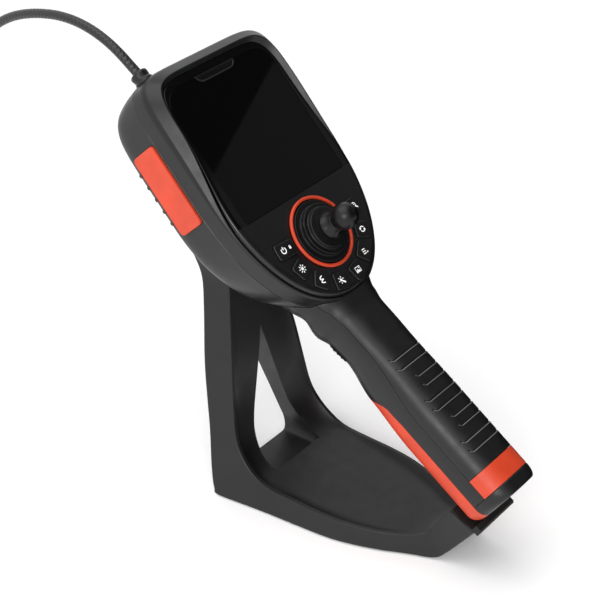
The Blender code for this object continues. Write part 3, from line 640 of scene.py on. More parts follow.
def sweep(name, path, radii, look, sides=20):
    """A round tube along a path, with a UV map of its length and turn, in tube girths."""
    work = bmesh.new()
    layer = work.loops.layers.uv.new("along")
    tangents = [(after - before).normalized() for before, after in
                zip([path[0], *path[:-1]], [*path[1:], path[-1]])]
    side = tangents[0].orthogonal().normalized()
    rings, lengths, total = [], [], 0.0
    for i, (point, tangent, radius) in enumerate(zip(path, tangents, radii)):
        side = (side - tangent * side.dot(tangent)).normalized()
        other = tangent.cross(side)
        total += (point - path[i - 1]).length if i else 0.0
        lengths.append(total / (2.0 * pi * TUBE_RADIUS))
        rings.append([work.verts.new(point + radius * (side * cos(a) + other * sin(a)))
                      for a in (2.0 * pi * k / sides for k in range(sides))])
    for low, high, near, far in zip(rings, rings[1:], lengths, lengths[1:]):
        for k in range(sides):
            j = (k + 1) % sides
            face = work.faces.new((low[k], low[j], high[j], high[k]))
            turn, next_turn = k / sides, (k + 1) / sides
            spots = ((near, turn), (near, next_turn), (far, next_turn), (far, turn))
            for loop, spot in zip(face.loops, spots):
                loop[layer].uv = spot
    work.faces.new(list(reversed(rings[0])))
    work.faces.new(rings[-1])
    return finish_mesh(name, work, look, Matrix.Identity(4), 50.0), total * MM


def insertion_tube():
    path = tube_path()
    tube, length = sweep("braided_tube", path, [TUBE_RADIUS] * len(path), TUBE)
    place(tube, "tube", "insertion_tube", "insertion_tube_coil")
    count = SLEEVE_RIBS * SLEEVE_STOPS
    line = [Vector((NECK_START + NECK_LENGTH * i / count, PROBE_Y, TUBE_RADIUS))
            for i in range(count + 1)]
    radii = [TUBE_RADIUS - SLEEVE_DEPTH - SLEEVE_DEPTH * cos(2.0 * pi * i / SLEEVE_STOPS)
             for i in range(count + 1)]
    neck, _ = sweep("bending_sleeve", line, radii, RUBBER)
    place_between(neck, "bending_neck")


insertion_tube()


# ---- head

HOOD_START = 20.0
HOOD_FULL = 120.0


def head_point(angle, inset, height, bottom=HEAD_BOTTOM, top=HEAD_TOP):
    upper = sin(angle) >= 0.0
    reach = top if upper else bottom
    power = TOP_SQUARENESS if upper else BOTTOM_SQUARENESS
    x, y = superellipse(angle, HEAD_HALF_WIDTH - inset, reach - inset, power)
    return (x, HEAD_MIDDLE + y, height)


def rim_angles(count=288):
    return [2.0 * pi * i / count for i in range(count)]


def rim(inset, height, bottom, top, count=288):
    """The head's outline at one height."""
    return [head_point(angle, inset, height, bottom, top) for angle in rim_angles(count)]


def hood_at(angle):
    """From 0 round the keypad, where the shell is low, to 1 round the screen, where it rises."""
    return ease(HOOD_START, HOOD_FULL, head_point(angle, 0.0, 0.0)[1])


def panel_inset(angle):
    return mix(2.2, 10.8, hood_at(angle))


def front_housing():
    sections = []
    for angle in rim_angles():
        hood = hood_at(angle)
        foot = panel_inset(angle)
        corners = (      # inset, height, corner radius
            (0.0, SEAM + GAP / 2, 0.5),
            (0.0, mix(-5.4, -6.5, hood), mix(0.8, 2.0, hood)),
            (mix(0.6, 1.2, hood), mix(-4.3, -3.2, hood), mix(0.5, 1.0, hood)),
            (mix(1.5, 7.6, hood), mix(-3.9, 4.0, hood), mix(0.4, 0.8, hood)),
            (foot, mix(-4.1, 0.4, hood), mix(0.25, 0.4, hood)),
            (foot, -PANEL_THICKNESS - GAP, 0.0),
            (foot + 3.0, -PANEL_THICKNESS - GAP, 0.0),
            (foot + 3.0, -8.0, 0.0),
            (WALL, -11.0, 0.0),
            (WALL, SEAM + GAP / 2, 0.0),
        )
        sections.append([head_point(angle, inset, height)
                         for inset, height in rounded_rows(corners, 5)])
    made = loft("front_housing", sections, SHELL, HEAD, ring=True)
    place(made, "shell", "front_shell")


BACK_LEVELS = (      # inset, height, reach below and above the head's middle
    (0.0, SEAM - GAP / 2, HEAD_BOTTOM, HEAD_TOP),
    (0.3, -32.0, 104.5, 95.4),
    (0.6, -45.0, 97.0, 92.4),
    (2.0, -52.0, 93.0, 89.4),
    (5.2, -55.8, 90.0, 87.8),
    (10.0, BACK, 88.0, 87.0),
)
SCREW_PLACES = ((-46.0, 128.0), (46.0, 128.0), (-47.0, 34.0), (47.0, 34.0))
SCREW_HOLE = (3.4, 2.0)
PORT_BAY = (29.2, 10.2)
PORT_REST = (32.6, 13.1)
PORT_REST_CORNER = 3.6
BAY_X = -66.0
REST_X = -71.6
COVER_X = -70.3


def port_matrix(x):
    """Y up the face, Z out to the left, at the port cover's middle."""
    turn = Matrix.Rotation(-0.5 * pi, 4, "Z") @ Matrix.Rotation(0.5 * pi, 4, "X")
    return at(HEAD, x, *PORT_MIDDLE) @ turn


LIP_EDGE = 0.4


def rear_housing():
    levels = smooth_points([Vector(level) for level in BACK_LEVELS], 5)
    inset, *lip = Vector(BACK_LEVELS[0])
    outer = [rim(inset + LIP_EDGE, *lip)]
    for inset, height, low, high in levels:
        outer.append(rim(max(inset, 0.0), min(height, SEAM - GAP / 2 - LIP_EDGE), low, high))
    inner = [rim(inset + WALL, max(height, BACK + 2.0 * WALL), low, high)
             for inset, height, low, high in (BACK_LEVELS[0], *BACK_LEVELS[2:4])]
    floor = rim(9.5, BACK + WALL, *BACK_LEVELS[-1][2:])
    made = loft("rear_housing", [floor, *reversed(inner), *outer], SHELL, HEAD, smooth=28.0)
    punch(made, rectangle(*PORT_BAY), 6.0, port_matrix(BAY_X))
    rest = rounded(rectangle(*PORT_REST), [PORT_REST_CORNER] * 4, 8)
    punch(made, rest, 3.0, port_matrix(REST_X))
    for x, y in SCREW_PLACES:
        drill(made, *SCREW_HOLE, at(HEAD, x, y, BACK))
    place(made, "shell", "rear_shell")


# ---- face

WINDOW_CORNERS = (15.0, 15.0, 2.0, 2.0)
THROUGH = 15.0


def window_outline(growth=0.0):
    corners = rectangle(WINDOW_HALF_WIDTH + growth, (WINDOW_HIGH - WINDOW_LOW) / 2 + growth)
    middle = (WINDOW_HIGH + WINDOW_LOW) / 2
    outline = []
    for (x, y), radius, start in zip(corners, WINDOW_CORNERS, (0, 90, 180, 270)):
        reach = radius + growth
        for step in range(13):
            angle = radians(start + 7.5 * step)
            outline.append((x - copysign(reach, x) + reach * cos(angle),
                            middle + y - copysign(reach, y) + reach * sin(angle)))
    return outline


KEY_CORNER = 2.3
KEY_HOLE_CORNER = 2.6
KEY_GAP = 0.35


def key_outline(name, growth, corner):
    length, width = POWER_KEY_SIZE if name == "key_power" else KEY_SIZE
    return rounded(rectangle(length / 2 + growth, width / 2 + growth), [corner] * 4, 6)


def key_matrix(degrees):
    angle = radians(degrees)
    spot = at(HEAD, KEY_RADIUS * cos(angle), KEY_RADIUS * sin(angle), 0.0)
    return spot @ Matrix.Rotation(angle, 4, "Z")


def face_plate():
    layers = (      # inset and height round the keypad's end, and round the screen
        (0.0, 0.0, -PANEL_THICKNESS, -PANEL_THICKNESS),
        (0.0, 0.0, -3.6, -0.6),
        (0.15, 0.08, -2.3, -0.3),
        (0.45, 0.2, -1.55, -0.14),
        (0.9, 0.35, -1.05, -0.06),
        (1.6, 0.5, -0.62, -0.02),
        (2.6, 0.75, -0.3, 0.0),
        (3.8, 0.9, -0.08, 0.0),
        (5.2, 1.0, 0.0, 0.0),
    )
    sections = []
    for share_low, share_high, low, high in layers:
        loop = []
        for angle in rim_angles():
            hood = hood_at(angle)
            inset = panel_inset(angle) + GAP + mix(share_low, share_high, hood)
            loop.append(head_point(angle, inset, mix(low, high, hood)))
        sections.append(loop)
    made = loft("face_plate", sections, PANEL, HEAD)
    punch(made, window_outline(GAP), THROUGH, HEAD)
    drill(made, WELL_RADIUS, THROUGH, HEAD, 128)
    for name, degrees in KEY_ANGLES.items():
        punch(made, key_outline(name, KEY_GAP, KEY_HOLE_CORNER), 10.0, key_matrix(degrees))
    place(made, "panel", "face_panel")


def screen():
    place(slab("screen_glass", window_outline(), -2.0, 0.06, 0.25, GLASS, HEAD, steps=3),
          "glass", "screen_window")


TAB_PROFILE = ((0.0, 0.07), (0.0, 0.62), (0.08, 0.8), (0.25, 0.92), (0.5, 0.95), (0.75, 0.9),
               (0.95, 0.78), (1.2, 0.68), (1.6, 0.66))
TAB_TOP_HALF = 21.5
TAB_LOW_HALF = 17.4
TAB_HIGH = 1.4
TAB_LOW = 4.6


def tab_outline(inset):
    low_half = TAB_LOW_HALF - 0.9 * inset
    top_half, high, low = TAB_TOP_HALF - inset, TAB_HIGH - inset, inset - TAB_LOW
    corners = [(top_half, high), (-top_half, high), (-low_half, low), (low_half, low)]
    return rounded(corners, [1.5, 1.5, 3.6 - inset, 3.6 - inset], 8)


def tab():
    """The raised tab that hangs from the screen's top border, blank, with a soft raised rim."""
    spot = at(HEAD, 0.0, WINDOW_HIGH - 0.6, 0.0)
    place(stepped("blank_tab", TAB_PROFILE, tab_outline, TAB, spot), "panel", "name_tab")


KEY_PROFILE = ((0.0, KEY_FOOT), (0.0, 0.65), (0.05, 0.92), (0.18, 1.18), (0.38, 1.36),
               (0.7, 1.46), (1.2, KEY_TOP))


def key_caps():
    for name, degrees in KEY_ANGLES.items():
        cap = stepped(name + "_cap", KEY_PROFILE,
                      lambda inset: key_outline(name, -inset, KEY_CORNER - 0.5 * inset),
                      RUBBER, key_matrix(degrees), smooth=50.0)
        place(cap, "rubber", name, body=name)


# ---- key pictograms

INK_LOW = KEY_TOP - 0.05
INK_HIGH = KEY_TOP + 0.06
INK_SCALE = 1.28
ZOOM_SCALE = 1.15
INK_WEIGHT = 0.95
ZOOM_SHIFT = 3.6


def prism(work, outline):
    low = [work.verts.new((x, y, INK_LOW)) for x, y in outline]
    high = [work.verts.new((x, y, INK_HIGH)) for x, y in outline]
    work.faces.new(list(reversed(low)))
    work.faces.new(high)
    skin(work, low, high)


def stroke(points, width):
    """The outline of a line of one width through the points."""
    line = [Vector(point) for point in points]
    left, right = [], []
    for i, here in enumerate(line):
        before = line[max(i - 1, 0)]
        after = line[min(i + 1, len(line) - 1)]
        along = (after - before).normalized()
        aside = Vector((-along.y, along.x)) * INK_WEIGHT * width / 2
        left.append(here + aside)
        right.append(here - aside)
    return right + left[::-1]


def arc(middle, radius, start, end, steps=18):
    angles = [radians(mix(start, end, i / steps)) for i in range(steps + 1)]
    return [(middle[0] + radius * cos(a), middle[1] + radius * sin(a)) for a in angles]


def disc(middle, radius):
    return arc(middle, radius, 0.0, 340.0, 17)


def rays(middle, low, high, angles, width):
    found = []
    for degrees in angles:
        way = Vector((cos(radians(degrees)), sin(radians(degrees))))
        found.append(stroke([Vector(middle) + way * low, Vector(middle) + way * high], width))
    return found


def turn_arrow(start):
    """An arc and the arrow head at its end."""
    bow = arc((0.0, 0.0), 1.55, start, start + 125.0, 14)
    tip, end = Vector(bow[-1]), radians(start + 125.0)
    ahead = Vector((-sin(end), cos(end)))
    aside = Vector((-ahead.y, ahead.x))
    return stroke(bow, 0.6), [tip + aside * 0.85, tip - aside * 0.85, tip + ahead * 1.15]


HUMPS = [(1.0 - 2.3 * abs(sin(2.0 * pi * i / 40)) ** 0.8, mix(2.1, -2.1, i / 40))
         for i in range(41)]

# each sign's outlines, in millimetres about the middle of its key, before it is scaled
PICTOGRAMS = {
    "key_power": (
        stroke(arc((-2.1, 0.2), 1.7, 130.0, 410.0, 26), 0.62),
        stroke([(-2.1, 0.5), (-2.1, 2.4)], 0.62),
        [(2.5, -0.8), (3.9, -0.8), (3.9, 0.5), (2.5, 0.5)],
        stroke(arc((3.2, 0.55), 0.5, 0.0, 180.0, 10), 0.34),
    ),
    "key_brightness": (
        disc((0.0, 0.0), 0.85),
        *rays((0.0, 0.0), 1.35, 2.5, range(0, 360, 45), 0.48),
    ),
    "key_curve": (stroke(HUMPS, 0.6),),
    "key_lamp": (
        disc((-0.4, 0.4), 0.8),
        *rays((-0.4, 0.4), 1.25, 2.2, (10, 70, 130, 190, 250), 0.44),
        stroke([(0.2, -0.3), (1.8, -2.0)], 0.95),
    ),
    "key_picture": (
        stroke([(-1.9, -1.5), (1.9, -1.5), (1.9, 1.5), (-1.9, 1.5), (-1.9, -1.75)], 0.48),
        [(-1.5, -1.2), (0.3, -1.2), (-0.6, 0.5)],
        [(-0.2, -1.2), (1.5, -1.2), (0.7, -0.1)],
        disc((0.9, 0.7), 0.36),
    ),
    "key_menu": (
        *(stroke([(-1.8, level), (0.7, level)], 0.56) for level in (1.3, 0.0, -1.3)),
        [(1.5, -1.7), (2.6, -1.1), (1.5, -0.5)],
    ),
    "key_rotate": (*turn_arrow(20.0), *turn_arrow(200.0)),
    "key_zoom": (
        stroke(arc((-0.4, 0.4), 1.5, 0.0, 350.0, 28), 0.6),
        stroke([(0.75, -0.75), (2.1, -2.1)], 0.85),
        stroke([(-1.0, 0.4), (0.2, 0.4)], 0.4),
        stroke([(-0.4, -0.2), (-0.4, 1.0)], 0.4),
    ),
}


def pictograms():
    for name, outlines in PICTOGRAMS.items():
        zoom = name == "key_zoom"
        angle = radians(KEY_ANGLES[name])
        reach = KEY_RADIUS + (ZOOM_SHIFT if zoom else 0.0)
        work = bmesh.new()
        for outline in outlines:
            prism(work, outline)
        scale = ZOOM_SCALE if zoom else INK_SCALE
        bmesh.ops.scale(work, vec=(scale, scale, 1.0), verts=work.verts)
        spot = at(HEAD, reach * cos(angle), reach * sin(angle), 0.0)
        place(finish_mesh(name + "_mark", work, GLOWING_PRINT, spot, 30.0), "rubber", body=name)


# ---- joystick

RING_THICKNESS = 1.35
RING_LIFT = 1.4
BOOT_LOW = (
    (23.9, 2.6, 0.5), (23.9, -5.2, 0.0), (20.8, -5.2, 0.0), (20.8, 0.4, 0.0), (17.0, 0.6, 0.0),
    (17.0, 3.9, 0.0), (19.9, 3.9, 0.45), (19.9, 2.9, 0.3), (22.0, 2.6, 0.4),
)
BOOT_HIGH = (
    (15.7, 10.4, 0.4), (16.2, 8.0, 0.5), (16.6, 7.5, 0.3), (19.6, 7.3, 0.5), (19.6, 4.2, 0.5),
    (16.2, 4.2, 0.0), (16.2, 6.0, 0.0), (12.6, 6.4, 0.0), (12.6, 9.0, 0.0), (7.2, 11.2, 0.0),
    (7.2, 12.6, 0.4), (12.0, 11.2, 1.0),
)
STEM = (
    (0.0, 20.8, 0.0), (6.4, 20.8, 0.3), (7.2, 17.6, 3.0), (9.6, 14.2, 1.2), (10.1, 12.9, 0.4),
    (6.4, 12.7, 0.0), (5.0, 9.0, 0.0), (4.0, 2.0, 0.0), (4.0, -9.0, 0.0), (0.0, -9.0, 0.0),
)
KNOB_FOOT = ((5.6, 21.4), (5.3, 21.1), (0.0, 21.1))


def joystick():
    """Profiles are (radius, height, corner radius) rows about the joystick's axis."""
    turns = [radians(degrees) for degrees in range(0, 360, 20)]
    ring = [(RING_RADIUS + RING_THICKNESS * cos(a), RING_LIFT + RING_THICKNESS * sin(a))
            for a in turns]
    place(turned("orange_ring", ring, ORANGE, HEAD, 160), "orange", "joystick_ring")

    for name, rows, node in (("bellows_low", BOOT_LOW, "boot_lower"),
                             ("bellows_high", BOOT_HIGH, "boot_upper")):
        made = turned(name, rounded_rows(rows), STICK_RUBBER, HEAD, 128, smooth=40.0)
        place_between(made, node)

    made = turned("stick_neck", rounded_rows(STEM, 5), STICK_RUBBER, HEAD, 96, smooth=40.0)
    place_between(made, "joystick_stem")

    turns = [radians(degrees) for degrees in range(5, 140, 5)]
    ball = [(0.0, KNOB_HEIGHT + KNOB_RADIUS)]
    ball += [(KNOB_RADIUS * sin(a), KNOB_HEIGHT + KNOB_RADIUS * cos(a)) for a in turns]
    made = turned("stick_knob", [*ball, *KNOB_FOOT], STICK_RUBBER, HEAD, 96, smooth=40.0)
    place(made, "rubber", "joystick_knob", body="joystick")


# ---- port cover

COVER_SIZE = (32.2, 12.7)
COVER_CORNER = 3.9
COVER_HALF = 1.5


def port_cover():
    outline = rounded(rectangle(*COVER_SIZE), [COVER_CORNER] * 4, 8)
    cover = slab("side_cover", outline, -COVER_HALF, COVER_HALF, 1.0, ORANGE, port_matrix(COVER_X),
                 steps=6, smooth=40.0)
    place(cover, "orange", "port_cover", body="port_cover")


# ---- handle

# (distance down the handle, value) rows
HALF_WIDTHS = ((15, 38.0), (28, 35.0), (40, 31.0), (52, 27.0), (64, 24.2), (90, 23.8),
               (150, 25.8))
FRONTS = ((15, -11.0), (30, -11.6), (46, -12.8), (62, -13.9), (110, -13.6))
BACKS = ((15, -55.5), (40, -51.8), (51, -59.0), (66, -55.6), (80, -54.2), (112, -62.0),
         (160, -65.2))
SEAMS = ((85, -22.5), (150, -29.0))
STRIP_EDGES = ((102, -59.6), (128, -43.8), (145, -42.4))
HANDLE_POWER = 2.8
HANDLE_WALL = 3.4
CORNER_RADIUS = 9.0
GROOVE_PAIRS = 5
PAIR_PITCH = 19.0
LINE_PITCH = 8.4
GROOVE_FIRST = 104.0
GROOVE_DEPTH = 0.85
GROOVE_LIP = 0.2
GROOVE_SLOPE = 1.3
GROOVE_RISE = 0.35
GROOVE_FADE = 1.6
GROOVE_REACH = 4.5
LONG_GROOVE = 17.0
SHORT_GROOVE = 10.5
GROOVED = (98.3, 192.8)
GROOVE_HIGHLIGHT_BACK = -24.0
STRIP_THICKNESS = 1.6
PAD_GAP = 0.35
PAD_MIDDLE = 72.0
PAD_LEVEL = -46.0
RIB_PITCH = 4.0
RIB_FOOT = 0.2
RIB_HEIGHT = 0.4


def corner_shrink(along):
    """How far the butt's rounded corner pulls in the handle's sides and back."""
    reach = min(max(along - (BUTT - CORNER_RADIUS), 0.0), CORNER_RADIUS)
    return CORNER_RADIUS - sqrt(CORNER_RADIUS ** 2 - reach ** 2)


def handle_section(along, inset):
    shrink = corner_shrink(along)
    front, back = follow(FRONTS, along), follow(BACKS, along) + shrink
    half_width = follow(HALF_WIDTHS, along) - 0.8 * shrink
    return half_width - inset, (front + back) / 2, (front - back) / 2 - inset


def skin_arc(along, inset, level, count, below):
    """Points of the handle's section on one side of a level, from +X round to -X."""
    half_width, middle, half_height = handle_section(along, inset)
    share = max(-0.999, min(0.999, (level - middle) / half_height))
    x = half_width * (1.0 - abs(share) ** HANDLE_POWER) ** (1.0 / HANDLE_POWER)
    first = atan2(level - middle, x)
    last = -pi - first if below else pi - first
    points = []
    for i in range(count):
        angle = mix(first, last, i / (count - 1))
        px, pz = superellipse(angle, half_width, half_height, HANDLE_POWER)
        points.append((px, -along, middle + pz))
    return points


def channel(name, stops, wall, level, below, look, count=49, outside=0.0, sink=None):
    """An open channel that follows the handle's skin above or below a level."""
    sections = []
    for along in stops:
        outer = skin_arc(along, -outside, level(along), count, below)
        inner = skin_arc(along, wall, level(along), count, below)
        if sink:
            outer = [(x, y, z - sink(x, along)) for x, y, z in outer]
        sections.append(outer + list(reversed(inner)))
    return loft(name, sections, look, GRIP)


def spaced(start, end, step):
    count = max(1, round((end - start) / step))
    return [mix(start, end, i / count) for i in range(count + 1)]


def groove_lines():
    """Each cross groove's place along the handle, and the half width it reaches on the left."""
    for pair in range(GROOVE_PAIRS):
        for line in range(2):
            middle = GROOVE_FIRST + PAIR_PITCH * pair + LINE_PITCH * line
            yield middle, SHORT_GROOVE if pair % 2 else LONG_GROOVE


def groove_offsets(x, along):
    """How far past each groove a point is, and how fully the groove is there."""
    for middle, half in groove_lines():
        if abs(along - middle) > GROOVE_REACH:
            continue
        bend = 2.0 * ease(half - 3.0, half, -x) + 0.5 * ease(15.0, 19.0, x)
        yield along + bend - middle, 1.0 - ease(half - 0.6, half + 0.3, -x)


def groove_sink(x, along):
    """A groove slopes down gently, then rises steeply to a low lip."""
    sunk = 0.0
    for off, there in groove_offsets(x, along):
        if off < 0.0:
            depth = GROOVE_DEPTH * ease(-GROOVE_SLOPE, 0.0, off)
        elif off < GROOVE_RISE:
            depth = mix(GROOVE_DEPTH, -GROOVE_LIP, off / GROOVE_RISE)
        else:
            depth = -GROOVE_LIP * (1.0 - ease(GROOVE_RISE, GROOVE_FADE, off))
        sunk += depth * there
    return sunk


def groove_highlight_at(x, along):
    """The painted highlight line along each groove's lip."""
    scuff_and_highlight = 0.0
    for off, there in groove_offsets(x, along):
        scuff_and_highlight = max(scuff_and_highlight, ease(0.05, 0.25, off) * (1.0 - ease(0.7, 1.0, off)) * there)
    return scuff_and_highlight


def mark_groove_highlight(target):
    """Store the painted highlight lines on the mesh, front face only."""
    back_to_grip = GRIP.inverted()
    values = []
    for vertex in target.data.vertices:
        x, y, z = back_to_grip @ vertex.co / MM
        values.append(groove_highlight_at(x, -y) if z > GROOVE_HIGHLIGHT_BACK else 0.0)
    layer = target.data.attributes.new("groove_highlight", "FLOAT", "POINT")
    layer.data.foreach_set("value", values)


def corner_stops():
    """Stops round the butt's corner, evenly spaced in angle."""
    return [BUTT - CORNER_RADIUS * (1.0 - sin(radians(turn)))
            for turn in range(0, 91, 9)]


def seam(side):
    """The level where the handle's two halves meet, half a gap to one side."""
    return lambda along: follow(SEAMS, along) + side * GAP / 2


def strip_stops():
    return (spaced(STRIP_START, 132.0, 0.9) + spaced(134.0, BUTT - CORNER_RADIUS, 2.4)
            + corner_stops()[1:])


def strip_cutter():
    """The back strip's volume, grown by the gap and past both its ends."""
    stops = [STRIP_START - 2.0, *strip_stops()[1:], BUTT + 2.0]
    return channel("strip_cutter", stops, STRIP_THICKNESS + GAP,
                   lambda along: follow(STRIP_EDGES, along) + GAP, True, None, 41, outside=1.5)


def handle():
    """The handle's rear, its grip with the grooves, the orange band and the back strip."""
    trim = head_trim()
    rear = channel("handle_back", spaced(16.0, BAND_END, 2.2), HANDLE_WALL, seam(-1), True, SHELL)
    stops = (spaced(30.0, 98.0, 2.5) + spaced(*GROOVED, 0.3)
             + spaced(194.0, BAND_START - GAP, 1.5))
    grip = channel("rubber_grip", stops, HANDLE_WALL, seam(1), False, GRIP_RUBBER, 121,
                   sink=groove_sink)
    band = channel("orange_band", spaced(BAND_START, BAND_END, 2.0), HANDLE_WALL, seam(1),
                   False, ORANGE, 65)
    place(band, "orange", "end_band")
    strip = channel("orange_strip", strip_stops(), STRIP_THICKNESS,
                    lambda along: follow(STRIP_EDGES, along), True, ORANGE, 41)
    place(strip, "orange", "back_strip")
    cut(rear, add_object("rear_trim", trim.data.copy()))
    cut(rear, strip_cutter())
    place(rear, "shell", "handle_rear")
    cut(grip, trim)
    mark_groove_highlight(grip)
    place(grip, "rubber", "handle_grip")


def butt():
    """The end cap: a lip inside the band, then the rounded butt."""
    start = BAND_END + GAP
    sections = []
    for along, inset in ((start, 0.3), *((stop, 0.0) for stop in (start + 0.5, *corner_stops()))):
        half_width, middle, half_height = handle_section(along, inset)
        outline = [superellipse(2.0 * pi * i / 128, half_width, half_height, HANDLE_POWER)
                   for i in range(128)]
        sections.append([(x, -along, middle + z) for x, z in outline])
    cap = loft("butt_cap", sections, SHELL, GRIP)
    cut(cap, strip_cutter())
    place(cap, "shell", "end_cap")


def finger_ribs():
    """A thin pad of cross ribs on the back of the handle, where the fingers close."""
    sections = []
    for along in spaced(PAD_MIDDLE - 8.0, PAD_MIDDLE + 8.0, 0.4):
        off = along - PAD_MIDDLE
        wave = max(0.0, cos(2.0 * pi * off / RIB_PITCH))
        rib = RIB_FOOT + RIB_HEIGHT * wave * (1.0 - ease(6.0, 7.5, abs(off)))
        outer = skin_arc(along, -rib - PAD_GAP, PAD_LEVEL, 33, True)
        inner = skin_arc(along, -PAD_GAP, PAD_LEVEL, 33, True)
        sections.append(outer + list(reversed(inner)))
    ribs = loft("finger_ribs", sections, GRIP_RUBBER, GRIP, smooth=45.0)
    place(ribs, "rubber", "finger_pad")


def head_trim():
    """The head's outer volume, grown by the gap, which trims what meets it."""
    levels = [(8.0, 3.0, HEAD_BOTTOM, HEAD_TOP), (-GAP, -5.0, HEAD_BOTTOM, HEAD_TOP)]
    levels += [(inset - GAP, height, low, high) for inset, height, low, high in
               smooth_points([Vector(level) for level in BACK_LEVELS], 4)]
    levels[-1] = (levels[-1][0], BACK - GAP, *levels[-1][2:])
    return loft("head_trim", [rim(*level, 144) for level in levels], None, HEAD)


# ---- gland

GLAND_PLACE = (-48.0, 155.5, -15.8)
GLAND_LEAN = -101.3
GLAND_SIDES = 12
GLAND_PROFILE = (
    (4.2, 7.6, 0.3), (6.3, 7.6, 0.8), (7.0, 6.0, 0.6), (6.4, 1.6, 0.8), (7.4, 0.4, 0.5),
    (7.4, -6.0, 0.0), (4.2, -6.0, 0.0),
)


def gland():
    spot = at(HEAD, *GLAND_PLACE) @ Matrix.Rotation(radians(GLAND_LEAN), 4, "X")
    made = turned("tube_collar", rounded_rows(GLAND_PROFILE), SHELL, spot, GLAND_SIDES, smooth=20.0)
    cut(made, head_trim())
    place(made, "shell", "gland_nut")


# ---- stand

# outer (forward, up), inner (forward, up), outer and inner half width, from the column's head
# down the column, along the base and up the toe
STATIONS = (
    ((101.0, 8.0), (57.0, -33.0), 42.0, 38.0),
    ((92.0, -26.0), (60.5, -42.0), 39.0, 32.0),
    ((85.0, -50.0), (63.0, -56.0), 35.5, 28.5),
    ((81.6, -75.0), (60.0, -80.0), 37.8, 32.0),
    ((75.6, -118.0), (53.6, -118.0), 45.8, 39.0),
    ((69.2, -150.0), (49.0, -149.0), 51.3, 43.6),
    ((64.2, -172.0), (44.8, -173.0), 55.3, 46.8),
    ((58.0, -200.0), (38.5, -187.0), 61.8, 48.8),
    ((52.6, -217.0), (27.0, -199.0), 65.8, 50.4),
    ((46.6, -222.0), (12.0, -206.0), 66.3, 50.8),
    ((10.0, -222.0), (-10.0, -207.0), 61.3, 50.6),
    ((-25.0, -222.0), (-35.0, -207.0), 57.8, 50.4),
    ((-55.0, -222.0), (-58.0, -207.0), 53.8, 48.0),
    ((-85.0, -222.0), (-82.0, -207.0), 43.8, 41.5),
    ((-108.0, -222.0), (-102.0, -206.5), 32.8, 32.0),
    ((-126.0, -221.0), (-117.0, -202.5), 25.6, 25.6),
    ((-135.0, -213.0), (-124.5, -191.0), 23.4, 23.4),
    ((-147.0, -197.0), (-133.0, -177.5), 22.7, 22.7),
    ((-160.6, -178.6), (-141.2, -165.6), 22.0, 22.0),
)
STAND_BASE = -222.0
TOE_TRIM = ((190.0, -71.0), (250.0, -61.5), (250.0, -40.0), (190.0, -40.0))
OPENING = (
    (0.0, -102.0, 1.5), (6.5, -127.0, 8.0), (15.8, -160.0, 8.0), (24.0, -190.0, 8.0),
    (28.0, -205.0, 4.0), (26.0, -214.4, 5.0),
)
FOOT_PLACES = ((-50.0, 30.0), (50.0, 30.0), (-22.0, -98.0), (22.0, -98.0))
FOOT_SEAT = (8.3, 1.0)
CRADLE_DEPTH = 3.6
DISH_DEPTH = 6.5
DISH_POWER = 7.0
PER_STATION = 6


def stand_section(number, row):
    """One cross-section of the stand's ribbon, dished on its inner side along the base."""
    outer, inner, outer_half, inner_half = Vector(row[0:2]), Vector(row[2:4]), row[4], row[5]
    outer.y = max(outer.y, STAND_BASE)
    last = len(STATIONS) - 1
    depth = DISH_DEPTH * ease(2.0, 9.0, number) * (1.0 - ease(last - 4.0, last - 1.0, number))
    reach = outer - inner
    thick = reach.length
    flank = rounded([(-outer_half, 0.0), (outer_half, 0.0), (inner_half, thick)], [2.0, 2.0, 0.0])
    edge = min(inner_half - 3.0, 0.94 * inner_half)
    brim = rounded([(outer_half, 0.0), (inner_half, thick), (edge, thick)], [0.0, 0.9, 0.0])[1:6]
    right = [point for point in flank if point[0] > 0.0][:-1] + brim
    dish = []
    for i in range(33):
        across = edge * cos(pi * i / 32)
        dish.append((across, thick - depth * (1.0 - abs(across / edge) ** DISH_POWER)))
    left = [(-x, t) for x, t in reversed(right)]
    way = reach.normalized()
    return [(x, outer.x - way.x * t, outer.y - way.y * t) for x, t in right + dish + left]


def stand_frame_piece():
    rows = smooth_points([Vector((*outer, *inner, *halves)) for outer, inner, *halves in STATIONS],
                         PER_STATION)
    sections = [stand_section(step / PER_STATION, row) for step, row in enumerate(rows)]
    made = loft("desk_stand", sections, STAND_LOOK, STAND, smooth=35.0)

    opening = rounded_rows([*OPENING, *((-x, z, r) for x, z, r in reversed(OPENING[1:]))], 5)
    sections = [[(x, depth, z) for x, z in opening] for depth in (20.0, 120.0)]
    cut(made, loft("opening", sections, None, STAND))
    sections = [[(x, y + 50.0, BACK - CRADLE_DEPTH + rise) for x, y in rectangle(60.0, 80.0)]
                for rise in (0.0, 60.0)]
    cut(made, loft("column_trim", sections, None, HEAD))
    sections = [[(x, -along, height) for along, height in TOE_TRIM] for x in (-40.0, 40.0)]
    cut(made, loft("toe_trim", sections, None, GRIP))
    for x, y in FOOT_PLACES:
        drill(made, *FOOT_SEAT, at(STAND, x, y, STAND_BASE))
    soften(made, 0.7, angle=38.0)
    place(made, "stand", "stand_frame", body="stand")


def carried_details():
    """CAD nodes whose shape stays get soft edges, and the toe's lip its own finish."""
    for name in ("toe_pad", "cradle_pad", "port_block", "light_block", "display_module"):
        soften(frame["nodes"][name], 0.5)
    for number in range(1, 6):
        soften(frame["nodes"][f"hinge_knuckle_{number}"], 0.3)
    for number in range(1, 5):
        soften(frame["nodes"][f"stand_foot_{number}"], 0.3)
        soften(frame["nodes"][f"housing_screw_{number}"], 0.15)
    frame["nodes"]["toe_pad"].data.materials[0] = MATTE_BLACK_LIP


